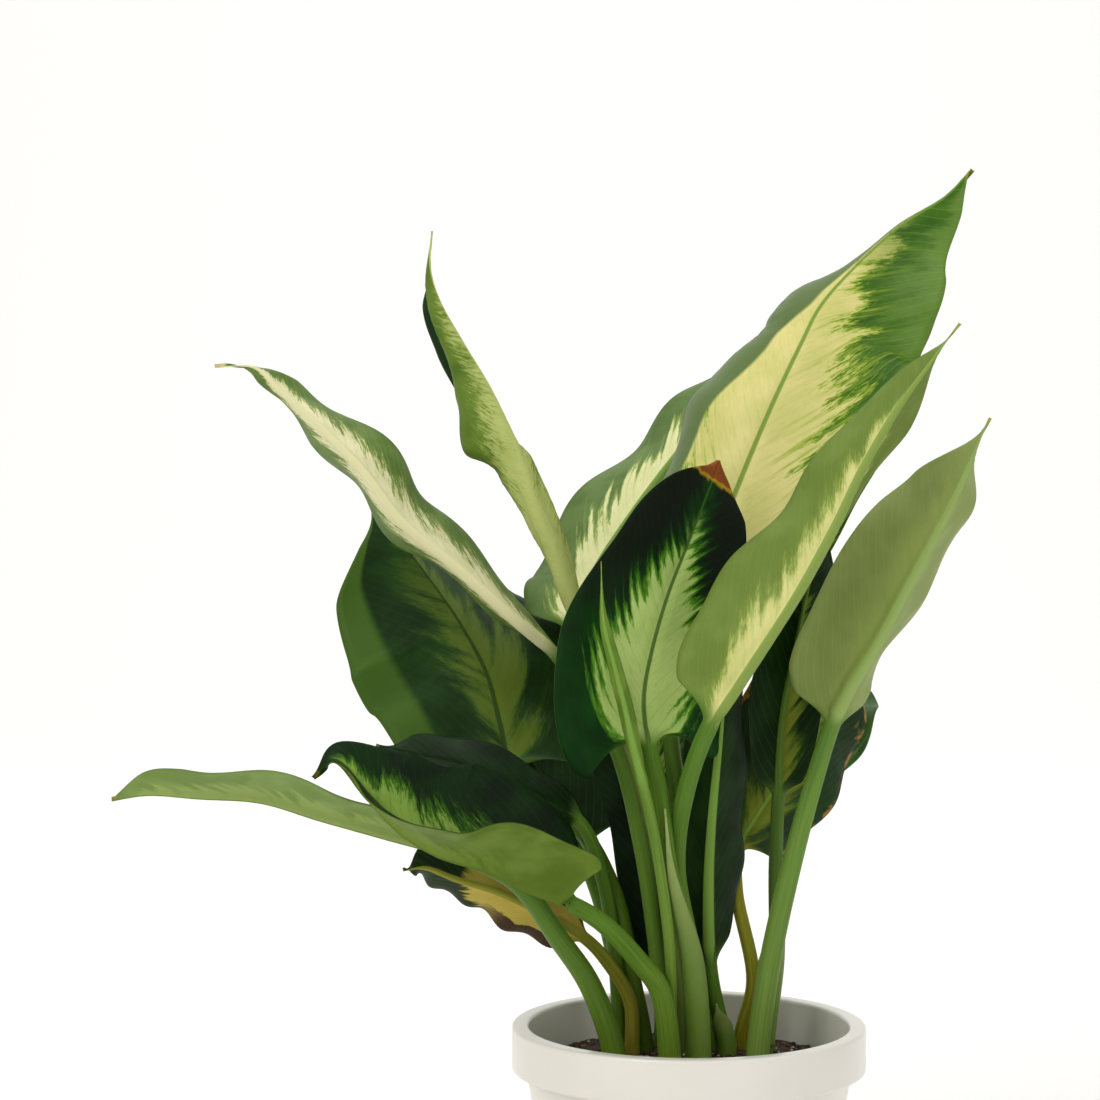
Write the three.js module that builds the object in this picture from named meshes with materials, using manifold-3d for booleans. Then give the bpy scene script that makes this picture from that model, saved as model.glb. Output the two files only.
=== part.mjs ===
// Potted dieffenbachia: a plain pot, its soil and the leaves that grow out of it.
// Millimetres, +Z up, origin in the middle of the pot's flat underside.
// X runs to the right in the front view, and Y runs away from the viewer.
import * as THREE from 'three';
import { mergeVertices } from 'three/addons/utils/BufferGeometryUtils.js';
import Module from 'manifold-3d';

const wasm = await Module();
wasm.setup();

// ---- driving dimensions ---------------------------------------------------------------
const POT_HEIGHT = 125;
const POT_TOP_RADIUS = 75;
const POT_BASE_RADIUS = 52;
const POT_WALL = 4;
const POT_FLOOR = 6;
const RIM_HEIGHT = 20;
const RIM_SLOPE = 1; // the rim's underside falls this much towards the wall
const RIM_STEP = 3;
const EDGE_ROUND = 1.5;
const POT_SIDES = 48;

const GAP = 0.3; // clear space between neighbouring solids
const SOIL_EDGE = 108; // soil level at the pot's wall
const SOIL_CROWN = 112; // soil level in the middle
const SOIL_RAMP = 14; // width of the slope along the pot's wall
const SOIL_SHOULDER = 34; // radius of the nearly level middle
const HOLE_SLACK = 0.3; // lets the many-sided stalk stand inside the many-sided hole
const HOLE_SIDES = 16;
const HOLE_OVERRUN = 8; // the cutter runs out above the soil
const ROOT_DEPTH = 34; // how far a stalk stands in the soil
const STRAIGHT = 10; // a stalk stands upright from this far below the soil's crown
const NECK = 4; // to this far above it
const ROOT_Z = SOIL_CROWN - ROOT_DEPTH;

const BLADE_STEPS = 13; // rows along a blade
const ROW_CROWDING = 1.35; // rows stand closer together at the base of a blade
const LAST_ROW = 0.995; // where the tip's last row is measured, so that it keeps some width
const PETIOLE_STEPS = 7; // rows along a petiole
const HALF_STRIPS = 3; // strips across half a blade
const RIB_TAPER = 0.75; // share of its radius that the midrib has lost at the tip
const WAVE_START = 0.2; // share of the blade over which the margin's waves grow
const MARGIN_THICKNESS = 0.9;
const BLADE_THICKNESS = 1.2; // beside the midrib
const JOIN_SHARE = 0.07; // share of the blade over which the petiole flattens into it
const ROUND_BASE = 0.5; // power of the rounded end of a blade's outline
const TIP_START = 0.72; // where a blade begins to draw out into its thread-like tip
const LOBE_SHARE = 0.3; // share of the blade over which the base is swept back

const VIEWER = new THREE.Vector3(0, -1, 0); // blades are laid out as seen from the front
const UPPER = 1; // the upper face looks to the viewer
const UNDER = -1; // the underside looks to the viewer
const UNTURNED = [0, 0];

const GREEN = {
  dark: 0x234d20,
  mid: 0x55823a,
  grey: 0x7d9a66,
  pale: 0x9bb26c,
  old: 0x8e8a3c,
};
const POT_COLOUR = 0xe9e6df;
const SOIL_COLOUR = 0x3a2a1e;
const GLAZED = 0.35; // roughness of the pot
const CRUMBLY = 0.95; // roughness of the soil
const WAXY = 0.45; // roughness of the leaves

// ---- leaves ---------------------------------------------------------------------------
// root: where the stalk enters the soil [x, y]; stalk: its radius there and at the blade.
// petiole and midrib: points that the middle of the leaf passes through, from the soil up.
// halfWidth: the widest half of the blade; taper: the power of its pointed end; point: the
// share by which the tip is drawn out; lobe: how far the base is swept back.
// fold: degrees by which each half turns out of the front view's plane, at even stations
// from base to tip; plus is towards the viewer. curl: the further turn from midrib to margin.
// turn: degrees by which the blade is turned about its midrib, at even stations; plus brings
// its right half to the back. wave and waves: the height and number of the margin's waves.
const LEAVES = [
  {
    name: 'leaf_upper_right', colour: GREEN.mid, faces: UPPER, root: [9, 17], stalk: [4.6, 3.2],
    petiole: [[-4, 19, 218], [-8, 20, 252]],
    midrib: [[-8, 22, 280], [5, 28, 309], [21, 36, 349], [36, 43, 384], [50, 49, 413],
      [58, 53, 428], [72, 56, 444], [93, 58, 463], [113, 60, 476], [124, 60, 488]],
    halfWidth: 54, taper: 0.75, point: 0.85, lobe: 16,
    left: { fold: [10, -15, -38, -82, -100], curl: [-30, -70, -75, -60, -40] },
    right: { fold: [15, 5, 5, 10, 0], curl: [15, 15] },
    wave: 2.5, waves: 4,
  },
  {
    name: 'leaf_upper_back', colour: GREEN.grey, faces: UNDER, root: [-3, 28], stalk: [4, 3],
    petiole: [[-14, 26, 195], [-33, 23, 247]],
    midrib: [[-50, 34, 288], [-39, 56, 312], [-21, 78, 338], [2, 94, 367], [24, 106, 391],
      [48, 114, 417], [67, 120, 437]],
    halfWidth: 38, taper: 0.9, point: 0.8, lobe: 14,
    left: { fold: [-35, -45, -58, -62, -55], curl: [-10, -10] },
    right: { fold: [-25, -30, -30, -30, -20], curl: [0, 0] },
    wave: 3, waves: 4,
  },
  {
    name: 'leaf_upper_left', colour: GREEN.grey, faces: UNDER, root: [-10, 0], stalk: [4, 2.8],
    petiole: [[-20, -3, 199], [-34, -6, 250]],
    midrib: [[-55, -8, 281], [-73, -18, 298], [-99, -25, 322], [-120, -28, 340], [-136, -28, 361],
      [-155, -24, 380], [-171, -19, 394], [-181, -16, 403], [-198, -14, 403]],
    halfWidth: 29, taper: 1.2, point: 0.8, lobe: 8,
    left: { fold: [-70, -66, -62, -60, -40], curl: [-15, -15] },
    right: { fold: [-72, -62, -48, -58, -50], curl: [-15, -15] },
    wave: 2, waves: 4,
  },
  {
    name: 'leaf_rolled_young', colour: GREEN.pale, faces: UNDER, root: [-2, 10], stalk: [4, 4.2],
    petiole: [[-15, 7, 198], [-29, 4, 249]],
    midrib: [[-46, 4, 294], [-57, 2, 326], [-63, 1, 339], [-71, 0, 361], [-78, 0, 377],
      [-86, 0, 394], [-97, 0, 413], [-106, 0, 430], [-109, 0, 443], [-108, 0, 460]],
    halfWidth: 24, taper: 1.2, point: 0.8, lobe: 0,
    left: { fold: [0, 0], curl: [-220, -220, -225, -180, -105, -160, -240, -250, -160, -60] },
    right: {
      fold: [0, 0, 0, 0, -20, -18, -15, -15, -10, 0],
      curl: [-185, -185, -185, -160, -105, -100, -100, -95, -60, -60],
    },
    turn: [0, 0, 0, 20, 50, 68, 80, 85, 60, 0],
    wave: 0, waves: 0,
  },
  {
    name: 'leaf_front_dark', colour: GREEN.dark, faces: UPPER, root: [3, -16], stalk: [5.6, 3.6],
    petiole: [[0, -20, 156], [-10, -28, 195], [-14, -34, 229]],
    midrib: [[-18, -36, 247], [-20, -34, 267], [-17, -30, 285], [-10, -24, 309], [-1, -16, 331],
      [6, -8, 348], [10, -3, 358], [12, -1, 364]],
    halfWidth: 40, taper: 1.2, point: 0.3, lobe: 50,
    left: { fold: [0, 10, 25, 30, 30], curl: [10, 10] },
    right: { fold: [-25, -28, -25, -28, -20], curl: [5, 5] },
    wave: 1.5, waves: 3,
  },
  {
    name: 'leaf_front_slim', colour: GREEN.pale, faces: UNDER, root: [-8, -17], stalk: [2.4, 2.2],
    petiole: [[-9, -30, 160], [-14, -38, 200]],
    midrib: [[-20, -46, 230], [-25, -48, 250], [-28, -48, 264], [-32, -48, 280], [-37, -47, 301],
      [-38, -45, 325]],
    halfWidth: 7, taper: 0.8, point: 0.8, lobe: 0,
    left: { fold: [0, 0, 0, 0, 0], curl: [-150, -150] },
    right: { fold: [0, 0, 0, 0, 0], curl: [-120, -120] },
    wave: 0, waves: 0,
  },
  {
    name: 'leaf_front_right', colour: GREEN.grey, faces: UNDER, root: [5, -3], stalk: [4.6, 3.6],
    petiole: [[1, -8, 154], [-6, -17, 194], [-3, -38, 229]],
    midrib: [[6, -53, 258], [17, -59, 276], [29, -64, 295], [42, -67, 316], [55, -68, 340],
      [66, -67, 363], [80, -65, 387], [94, -62, 406], [106, -56, 422]],
    halfWidth: 34, taper: 1.05, point: 0.8, lobe: 12,
    left: { fold: [-5, -20, -42, -45, -35], curl: [-15, -15] },
    right: { fold: [-80, -85, -78, -55, -40], curl: [-10, -10] },
    wave: 1.5, waves: 4,
  },
  {
    name: 'leaf_right_pale', colour: GREEN.pale, faces: UNDER, root: [29, -8], stalk: [5.6, 3.6],
    petiole: [[34, -9, 154], [43, -10, 196], [52, -9, 230]],
    midrib: [[59, -10, 253], [65, -15, 268], [76, -21, 288], [87, -26, 310], [100, -29, 335],
      [108, -30, 351], [115, -29, 367], [122, -26, 383]],
    halfWidth: 34, taper: 0.85, point: 0.8, lobe: 12,
    left: { fold: [-15, -18, -25, -35, -30], curl: [-15, -15] },
    right: { fold: [-50, -68, -62, -60, -65], curl: [-10, -10] },
    wave: 1.5, waves: 3,
  },
  {
    name: 'leaf_left_dark', colour: GREEN.dark, faces: UPPER, root: [-19, 8], stalk: [4.4, 3.2],
    petiole: [[-24, 8, 143], [-31, 6, 178], [-45, 4, 206], [-61, 4, 220]],
    midrib: [[-74, 8, 229], [-80, 20, 250], [-86, 30, 271], [-97, 39, 291], [-104, 44, 301],
      [-118, 54, 319], [-129, 60, 332], [-137, 64, 341]],
    halfWidth: 54, taper: 0.75, point: 0.8, lobe: 34,
    left: { fold: [0, 5, 10, 15, 10], curl: [10, 10] },
    right: { fold: [-10, -30, -58, -72, -75], curl: [0, 0] },
    wave: 2, waves: 3,
  },
  {
    name: 'leaf_low_left', colour: GREEN.pale, faces: UPPER, root: [-32, -17], stalk: [5.6, 3.8],
    petiole: [[-42, -19, 145], [-55, -22, 165], [-73, -27, 190]],
    midrib: [[-98, -32, 203], [-127, -42, 213], [-152, -50, 221], [-176, -57, 229],
      [-200, -62, 231], [-220, -64, 232], [-236, -64, 229]],
    halfWidth: 24, taper: 0.6, point: 0.5, lobe: 6,
    left: { fold: [130, 132, 130, 132, 165], curl: [-10, -10] },
    right: { fold: [-75, -80, -85, -85, -80], curl: [10, 10] },
    wave: 1.5, waves: 3,
  },
  {
    name: 'leaf_low_left_dark', colour: GREEN.dark, faces: UPPER, root: [-9, -31], stalk: [5.4, 3.6],
    petiole: [[-13, -32, 145], [-22, -34, 158], [-36, -40, 174]],
    midrib: [[-49, -44, 183], [-67, -51, 191], [-86, -58, 201], [-104, -63, 208],
      [-118, -66, 217], [-132, -65, 231], [-146, -62, 245], [-155, -60, 238]],
    halfWidth: 40, taper: 1.0, point: 0.8, lobe: 38,
    left: { fold: [150, 142, 118, 100, 70], curl: [-10, -10] },
    right: { fold: [-40, -25, -20, -20, -20], curl: [0, 0] },
    wave: 1.5, waves: 3,
  },
  {
    name: 'leaf_low_left_old', colour: GREEN.old, faces: UNDER, root: [-24, -2], stalk: [3.6, 2.6],
    petiole: [[-25, -2, 135], [-35, -6, 153]],
    midrib: [[-44, -9, 163], [-61, -13, 174], [-80, -17, 184], [-98, -20, 190],
      [-111, -22, 195], [-120, -24, 194]],
    halfWidth: 23, taper: 0.7, point: 0.8, lobe: 4,
    left: { fold: [-20, -35, -50, -55, -60], curl: [-20, -20] },
    right: { fold: [-50, -50, -50, -50, -40], curl: [-10, -10] },
    wave: 1.5, waves: 5,
  },
  {
    name: 'leaf_back_right_old', colour: GREEN.old, faces: UPPER, root: [23, 15], stalk: [3.6, 2.6],
    petiole: [[28, 13, 141], [21, 17, 179]],
    midrib: [[22, 20, 196], [36, 26, 219], [52, 34, 245], [66, 42, 267], [78, 50, 284]],
    halfWidth: 35, taper: 0.6, point: 0.8, lobe: 8,
    left: { fold: [10, 10, 10, 10, 10], curl: [10, 10] },
    right: { fold: [-25, -30, -35, -40, -40], curl: [-10, -10] },
    wave: 2, waves: 3,
  },
  {
    name: 'leaf_inner_folded', colour: GREEN.dark, faces: UNDER, root: [16, 3], stalk: [4, 3],
    petiole: [[12, 1, 132]],
    midrib: [[9, -2, 150], [8, -5, 182], [9, -7, 210], [12, -8, 245], [15, -7, 280], [20, -5, 310]],
    halfWidth: 24, taper: 0.8, point: 0.8, lobe: 0,
    left: { fold: [-50, -50, -50, -50, -50], curl: [-10, -10] },
    right: { fold: [-40, -40, -45, -50, -50], curl: [-20, -20] },
    wave: 1, waves: 4,
  },
  {
    name: 'leaf_right_inner', colour: GREEN.dark, faces: UPPER, root: [33, 8], stalk: [3.6, 2.8],
    petiole: [[37, 8, 151], [37, 8, 190]],
    midrib: [[38, 8, 220], [40, 9, 256], [46, 10, 288], [52, 12, 315], [60, 14, 338]],
    halfWidth: 19, taper: 0.8, point: 0.8, lobe: 6,
    left: { fold: [20, 30, 30, 30, 20], curl: [10, 10] },
    right: { fold: [20, 30, 30, 30, 20], curl: [10, 10] },
    wave: 1, waves: 3,
  },
  {
    name: 'leaf_left_inner', colour: GREEN.dark, faces: UPPER, root: [-29, 5], stalk: [3.6, 2.8],
    petiole: [[-31, 3, 150], [-36, -2, 185]],
    midrib: [[-46, -9, 212], [-71, -16, 227], [-96, -22, 238], [-117, -25, 243], [-131, -26, 247]],
    halfWidth: 20, taper: 0.9, point: 0.8, lobe: 4,
    left: { fold: [70, 70, 70, 70, 60], curl: [0, 0] },
    right: { fold: [-60, -60, -60, -60, -50], curl: [0, 0] },
    wave: 1, waves: 3,
  },
  {
    name: 'leaf_shade_inner', colour: GREEN.dark, faces: UPPER, root: [-11, 18], stalk: [3.6, 2.8],
    petiole: [[-11, 18, 124]],
    midrib: [[-12, 18, 140], [-14, 18, 162], [-16, 17, 187], [-19, 15, 212], [-26, 13, 232], [-33, 13, 251],
      [-39, 14, 270], [-43, 16, 289]],
    halfWidth: 15, taper: 0.7, point: 0.8, lobe: 0,
    left: { fold: [0, 0, 0, 0, 0], curl: [0, 0] },
    right: { fold: [28, 40, 38, 15, 0], curl: [0, 0] },
    wave: 1, waves: 3,
  },
  {
    name: 'leaf_back_left', colour: GREEN.mid, faces: UPPER, root: [-22, 38], stalk: [4, 3],
    petiole: [[-30, 46, 142], [-37, 56, 168]],
    midrib: [[-45, 63, 188], [-57, 72, 212], [-75, 84, 238], [-96, 94, 262], [-120, 100, 284]],
    halfWidth: 34, taper: 0.9, point: 0.8, lobe: 10,
    left: { fold: [15, 20, 20, 20, 10], curl: [10, 10] },
    right: { fold: [15, 20, 20, 20, 10], curl: [10, 10] },
    wave: 1.5, waves: 3,
  },
  {
    name: 'leaf_back_middle', colour: GREEN.dark, faces: UPPER, root: [9, 40], stalk: [4.2, 3.2],
    petiole: [[6, 58, 150], [-6, 70, 180]],
    midrib: [[-16, 80, 205], [-20, 90, 232], [-20, 104, 262], [-14, 118, 292], [-4, 128, 318],
      [8, 134, 338]],
    halfWidth: 40, taper: 0.9, point: 0.8, lobe: 12,
    left: { fold: [20, 25, 25, 25, 15], curl: [10, 10] },
    right: { fold: [20, 25, 25, 25, 15], curl: [10, 10] },
    wave: 2, waves: 3,
  },
  {
    name: 'leaf_back_right', colour: GREEN.mid, faces: UPPER, root: [25, 30], stalk: [4, 3],
    petiole: [[38, 50, 150], [46, 66, 190]],
    midrib: [[50, 80, 216], [55, 96, 236], [60, 112, 250], [65, 128, 258], [70, 142, 260]],
    halfWidth: 32, taper: 0.9, point: 0.8, lobe: 10,
    left: { fold: [20, 25, 25, 25, 15], curl: [10, 10] },
    right: { fold: [20, 25, 25, 25, 15], curl: [10, 10] },
    wave: 2, waves: 3,
  },
];

// ---- small helpers --------------------------------------------------------------------
const radians = THREE.MathUtils.degToRad;

function smooth(value, from, to) {
  return THREE.MathUtils.smoothstep(value, from, to);
}

// A value read off evenly spaced stations, joined by eased steps.
function station(values, t) {
  const place = t * (values.length - 1);
  const index = Math.min(Math.floor(place), values.length - 2);
  return THREE.MathUtils.lerp(values[index], values[index + 1], smooth(place - index, 0, 1));
}

// Half-width of a blade as a share of its widest: a round base, widest before the middle,
// and a long point. taper is the power of the pointed end.
function outline(t, taper, point) {
  const widest = ROUND_BASE / (ROUND_BASE + taper);
  const peak = widest ** ROUND_BASE * (1 - widest) ** taper;
  const thread = 1 - point * smooth(t, TIP_START, 1);
  return (thread * t ** ROUND_BASE * (1 - t) ** taper) / peak;
}

// A half blade is an arc: it leaves the midrib at the fold angle and turns by the curl.
function arc(width, fold, curl, s) {
  const end = fold + curl * s;
  if (Math.abs(curl) < 0.01) {
    return [width * s * Math.cos(fold), width * s * Math.sin(fold), end];
  }
  return [
    (width * (Math.sin(end) - Math.sin(fold))) / curl,
    (width * (Math.cos(fold) - Math.cos(end))) / curl,
    end,
  ];
}

// ---- one leaf: petiole, midrib and blade as a single closed skin ------------------------
function leafGeometry(leaf) {
  const [rootX, rootY] = leaf.root;
  const footing = [
    [rootX, rootY, ROOT_Z],
    [rootX, rootY, SOIL_CROWN - STRAIGHT],
    [rootX, rootY, SOIL_CROWN + NECK],
  ];
  const petiolePoints = [...footing, ...leaf.petiole, leaf.midrib[0]];
  const points = [...petiolePoints, ...leaf.midrib.slice(1)].map((p) => new THREE.Vector3(...p));
  const spine = new THREE.CatmullRomCurve3(points, false, 'centripetal');
  const bladeStart = (petiolePoints.length - 1) / (points.length - 1);

  const rows = [];
  for (let i = 0; i <= PETIOLE_STEPS; i += 1) {
    rows.push({ along: (bladeStart * i) / PETIOLE_STEPS, t: 0 });
  }
  for (let i = 1; i <= BLADE_STEPS; i += 1) {
    const t = (i / BLADE_STEPS) ** ROW_CROWDING;
    rows.push({ along: bladeStart + (1 - bladeStart) * t, t: Math.min(t, LAST_ROW) });
  }

  const rings = rows.map((row) => ring(leaf, spine, bladeStart, row));
  return skin(rings);
}

// The cross-section at one place on the spine: the viewer's side from left to right,
// then the far side from right to left.
function ring(leaf, spine, bladeStart, row) {
  const centre = spine.getPoint(row.along);
  const tangent = spine.getTangent(row.along);
  const turn = radians(station(leaf.turn ?? UNTURNED, row.t));
  const side = tangent.clone().cross(VIEWER).normalize().applyAxisAngle(tangent, turn);
  const front = side.clone().cross(tangent).normalize();
  const growth = Math.min(row.along / bladeStart, 1);
  const radius = THREE.MathUtils.lerp(leaf.stalk[0], leaf.stalk[1], growth) * (1 - RIB_TAPER * row.t);
  const opened = smooth(row.t, 0, JOIN_SHARE);
  const sweep = -leaf.lobe * opened * (1 - smooth(row.t, 0, LOBE_SHARE));
  const near = [];
  const far = [];
  for (let j = -HALF_STRIPS; j <= HALF_STRIPS; j += 1) {
    const s = Math.abs(j) / HALF_STRIPS;
    const hand = Math.sign(j);
    const half = j < 0 ? leaf.left : leaf.right;
    const width = Math.max(leaf.halfWidth * outline(row.t, leaf.taper, leaf.point), radius);
    const fold = radians(station(half.fold, row.t));
    const curl = radians(station(half.curl, row.t));
    const [out, depth, angle] = arc(width, fold, curl, s);
    const ripple = Math.sin(2 * Math.PI * leaf.waves * row.t + hand);
    const wave = leaf.wave * s * s * ripple * smooth(row.t, 0, WAVE_START);
    const leanX = -Math.sin(angle) * hand * opened;
    const leanY = Math.cos(angle) * opened + (1 - opened);
    const length = Math.hypot(leanX, leanY);
    const normalX = j === 0 ? 0 : leanX / length;
    const normalY = j === 0 ? 1 : leanY / length;
    const roundX = radius * Math.sin((Math.PI / 2) * s) * hand;
    const x = THREE.MathUtils.lerp(roundX, out * hand, opened) + wave * normalX;
    const y = THREE.MathUtils.lerp(0, depth, opened) + wave * normalY;
    const stalkHalf = Math.max(radius * Math.cos((Math.PI / 2) * s), MARGIN_THICKNESS / 2);
    const bladeHalf = THREE.MathUtils.lerp(BLADE_THICKNESS, MARGIN_THICKNESS, s) / 2;
    const rib = j === 0 ? radius : bladeHalf;
    const nearHalf = THREE.MathUtils.lerp(stalkHalf, leaf.faces === UNDER ? rib : bladeHalf, opened);
    const farHalf = THREE.MathUtils.lerp(stalkHalf, leaf.faces === UPPER ? rib : bladeHalf, opened);
    const back = sweep * (x / leaf.halfWidth) ** 2;
    const middle = centre.clone().addScaledVector(side, x).addScaledVector(front, y);
    middle.addScaledVector(tangent, back);
    const normal = side.clone().multiplyScalar(normalX).addScaledVector(front, normalY);
    near.push(middle.clone().addScaledVector(normal, nearHalf));
    far.unshift(middle.clone().addScaledVector(normal, -farHalf));
  }
  return [...near, ...far];
}

// Rings joined into one closed skin. Quads on both faces are split along the same diagonal.
function skin(rings) {
  const count = rings[0].length;
  const faceCount = count / 2;
  const positions = rings.flat().flatMap((p) => [p.x, p.y, p.z]);
  const indices = [];
  for (let i = 0; i < rings.length - 1; i += 1) {
    for (let j = 0; j < count; j += 1) {
      const k = (j + 1) % count;
      const a = i * count + j;
      const b = i * count + k;
      const c = (i + 1) * count + k;
      const d = (i + 1) * count + j;
      if (j < faceCount) {
        indices.push(a, b, c, a, c, d);
      } else {
        indices.push(a, b, d, b, c, d);
      }
    }
  }
  const last = (rings.length - 1) * count;
  for (let j = 0; j < faceCount - 1; j += 1) {
    const k = count - 1 - j;
    indices.push(j, k, j + 1, j + 1, k, k - 1);
    indices.push(last + j, last + j + 1, last + k, last + j + 1, last + k - 1, last + k);
  }
  const geometry = new THREE.BufferGeometry();
  geometry.setAttribute('position', new THREE.Float32BufferAttribute(positions, 3));
  geometry.setIndex(indices);
  return geometry;
}

// ---- booleans -------------------------------------------------------------------------
function toSolid(geometry) {
  const bare = geometry.clone();
  bare.deleteAttribute('normal');
  bare.deleteAttribute('uv');
  const merged = mergeVertices(bare, 1e-3);
  return new wasm.Manifold(new wasm.Mesh({
    numProp: 3,
    vertProperties: new Float32Array(merged.attributes.position.array),
    triVerts: new Uint32Array(merged.index.array),
  }));
}

function fromSolid(solid) {
  const mesh = solid.getMesh();
  const geometry = new THREE.BufferGeometry();
  geometry.setAttribute('position', new THREE.Float32BufferAttribute(mesh.vertProperties, 3));
  geometry.setIndex([...mesh.triVerts]);
  return geometry;
}

// ---- pot and soil ---------------------------------------------------------------------
function lathe(profile) {
  const geometry = new THREE.LatheGeometry(profile.map((p) => new THREE.Vector2(...p)), POT_SIDES);
  return geometry.rotateX(Math.PI / 2);
}

// Outer radius of the pot's wall below the rim.
function potRadius(z) {
  return THREE.MathUtils.mapLinear(z, 0, POT_HEIGHT, POT_BASE_RADIUS, POT_TOP_RADIUS - RIM_STEP);
}

function potGeometry() {
  const rimFoot = POT_HEIGHT - RIM_HEIGHT;
  const innerTop = POT_TOP_RADIUS - RIM_STEP - POT_WALL;
  return lathe([
    [0, 0],
    [POT_BASE_RADIUS - EDGE_ROUND, 0],
    [potRadius(EDGE_ROUND), EDGE_ROUND],
    [potRadius(rimFoot), rimFoot],
    [POT_TOP_RADIUS - EDGE_ROUND, rimFoot + RIM_SLOPE],
    [POT_TOP_RADIUS, rimFoot + RIM_SLOPE + EDGE_ROUND],
    [POT_TOP_RADIUS, POT_HEIGHT - EDGE_ROUND],
    [POT_TOP_RADIUS - EDGE_ROUND, POT_HEIGHT],
    [innerTop + EDGE_ROUND, POT_HEIGHT],
    [innerTop, POT_HEIGHT - EDGE_ROUND],
    [potRadius(POT_FLOOR) - POT_WALL, POT_FLOOR],
    [0, POT_FLOOR],
  ]);
}

// The soil fills the pot to just under the rim and has a round hole for each stalk.
function soilGeometry() {
  const foot = POT_FLOOR + GAP;
  const wall = (z) => potRadius(z) - POT_WALL - GAP;
  const body = lathe([
    [0, foot],
    [wall(foot), foot],
    [wall(SOIL_EDGE), SOIL_EDGE],
    [wall(SOIL_EDGE) - SOIL_RAMP, (SOIL_EDGE + SOIL_CROWN) / 2],
    [SOIL_SHOULDER, SOIL_CROWN - GAP],
    [0, SOIL_CROWN],
  ]);
  let soil = toSolid(body);
  const depth = ROOT_DEPTH + HOLE_OVERRUN;
  for (const leaf of LEAVES) {
    const radius = leaf.stalk[0] + GAP + HOLE_SLACK;
    const hole = new THREE.CylinderGeometry(radius, radius, depth, HOLE_SIDES).rotateX(Math.PI / 2);
    hole.translate(leaf.root[0], leaf.root[1], ROOT_Z - GAP * 2 + depth / 2);
    soil = soil.subtract(toSolid(hole));
  }
  return fromSolid(soil);
}

// ---- assembly -------------------------------------------------------------------------
function part(name, geometry, colour, roughness) {
  const material = new THREE.MeshStandardMaterial({ color: colour, roughness, metalness: 0 });
  const mesh = new THREE.Mesh(geometry, material);
  mesh.name = name;
  return mesh;
}

const plant = new THREE.Group();
plant.add(part('pot', potGeometry(), POT_COLOUR, GLAZED));
plant.add(part('soil', soilGeometry(), SOIL_COLOUR, CRUMBLY));
for (const leaf of LEAVES) {
  plant.add(part(leaf.name, leafGeometry(leaf), leaf.colour, WAXY));
}

export default plant;
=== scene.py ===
"""Potted dieffenbachia: the look of every piece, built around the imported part.

Finished meshes are in metres, in the part's own frame: +Z up, X to the right in the front
view, Y away from the viewer, and the origin in the middle of the pot's flat underside.
The driving numbers below are in millimetres and degrees unless a name says otherwise.
"""
import logging
import math
from dataclasses import dataclass
from enum import Enum

import bpy
import numpy as np
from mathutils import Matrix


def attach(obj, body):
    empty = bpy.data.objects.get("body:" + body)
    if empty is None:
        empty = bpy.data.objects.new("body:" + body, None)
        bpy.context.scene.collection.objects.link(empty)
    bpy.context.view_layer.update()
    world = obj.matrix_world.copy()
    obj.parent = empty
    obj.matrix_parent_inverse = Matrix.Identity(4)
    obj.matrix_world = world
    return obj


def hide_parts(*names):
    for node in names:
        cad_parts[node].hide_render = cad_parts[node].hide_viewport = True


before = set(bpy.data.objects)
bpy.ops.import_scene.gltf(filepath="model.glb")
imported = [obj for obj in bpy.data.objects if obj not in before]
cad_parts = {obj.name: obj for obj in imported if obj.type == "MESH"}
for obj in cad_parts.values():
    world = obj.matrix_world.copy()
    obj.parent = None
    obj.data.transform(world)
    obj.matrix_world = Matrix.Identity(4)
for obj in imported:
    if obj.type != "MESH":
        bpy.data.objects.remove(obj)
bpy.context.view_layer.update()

log = logging.getLogger("dieffenbachia")
logging.basicConfig(level=logging.INFO, format="%(name)s: %(message)s")

MM = 0.001
CM_PER_MM = 0.1
Colour = tuple[int, int, int]
Point = tuple[float, float, float]
Stations = tuple[float, ...]
Array = np.ndarray
Material = bpy.types.Material
Socket = bpy.types.NodeSocket
Value = float | Colour | Socket

# ---- the pot and its soil ----
POT_HEIGHT = 125.0
POT_TOP_RADIUS = 75.0
POT_BASE_RADIUS = 52.0
POT_WALL = 4.0
POT_FLOOR = 6.0
RIM_HEIGHT = 20.0
RIM_SLOPE = 1.0
RIM_STEP = 3.0
EDGE_ROUND = 1.5
GAP = 0.3
SOIL_EDGE = 108.0
SOIL_CROWN = 112.0
SOIL_RAMP = 14.0
SOIL_SHOULDER = 34.0
MOST_OF_EDGE = 0.49
BARE_EDGE = 4.0
RELIEF_WAVES = ((26.0, 1.0), (15.0, 0.8), (8.0, 0.9), (4.5, 0.8), (2.8, 0.6))
RELIEF_DIRECTIONS = 4
RELIEF_CONTRAST = 1.6
BALL_PROFILE = np.array([(0, -1), (0.75, -0.7), (1.0, 0.0), (0.75, 0.7), (0, 1)], float)
BALL_SIDES = 7
BALL_LUMPS = (0.75, 1.25)
BALL_STRETCH = (0.8, 1.6)

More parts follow.
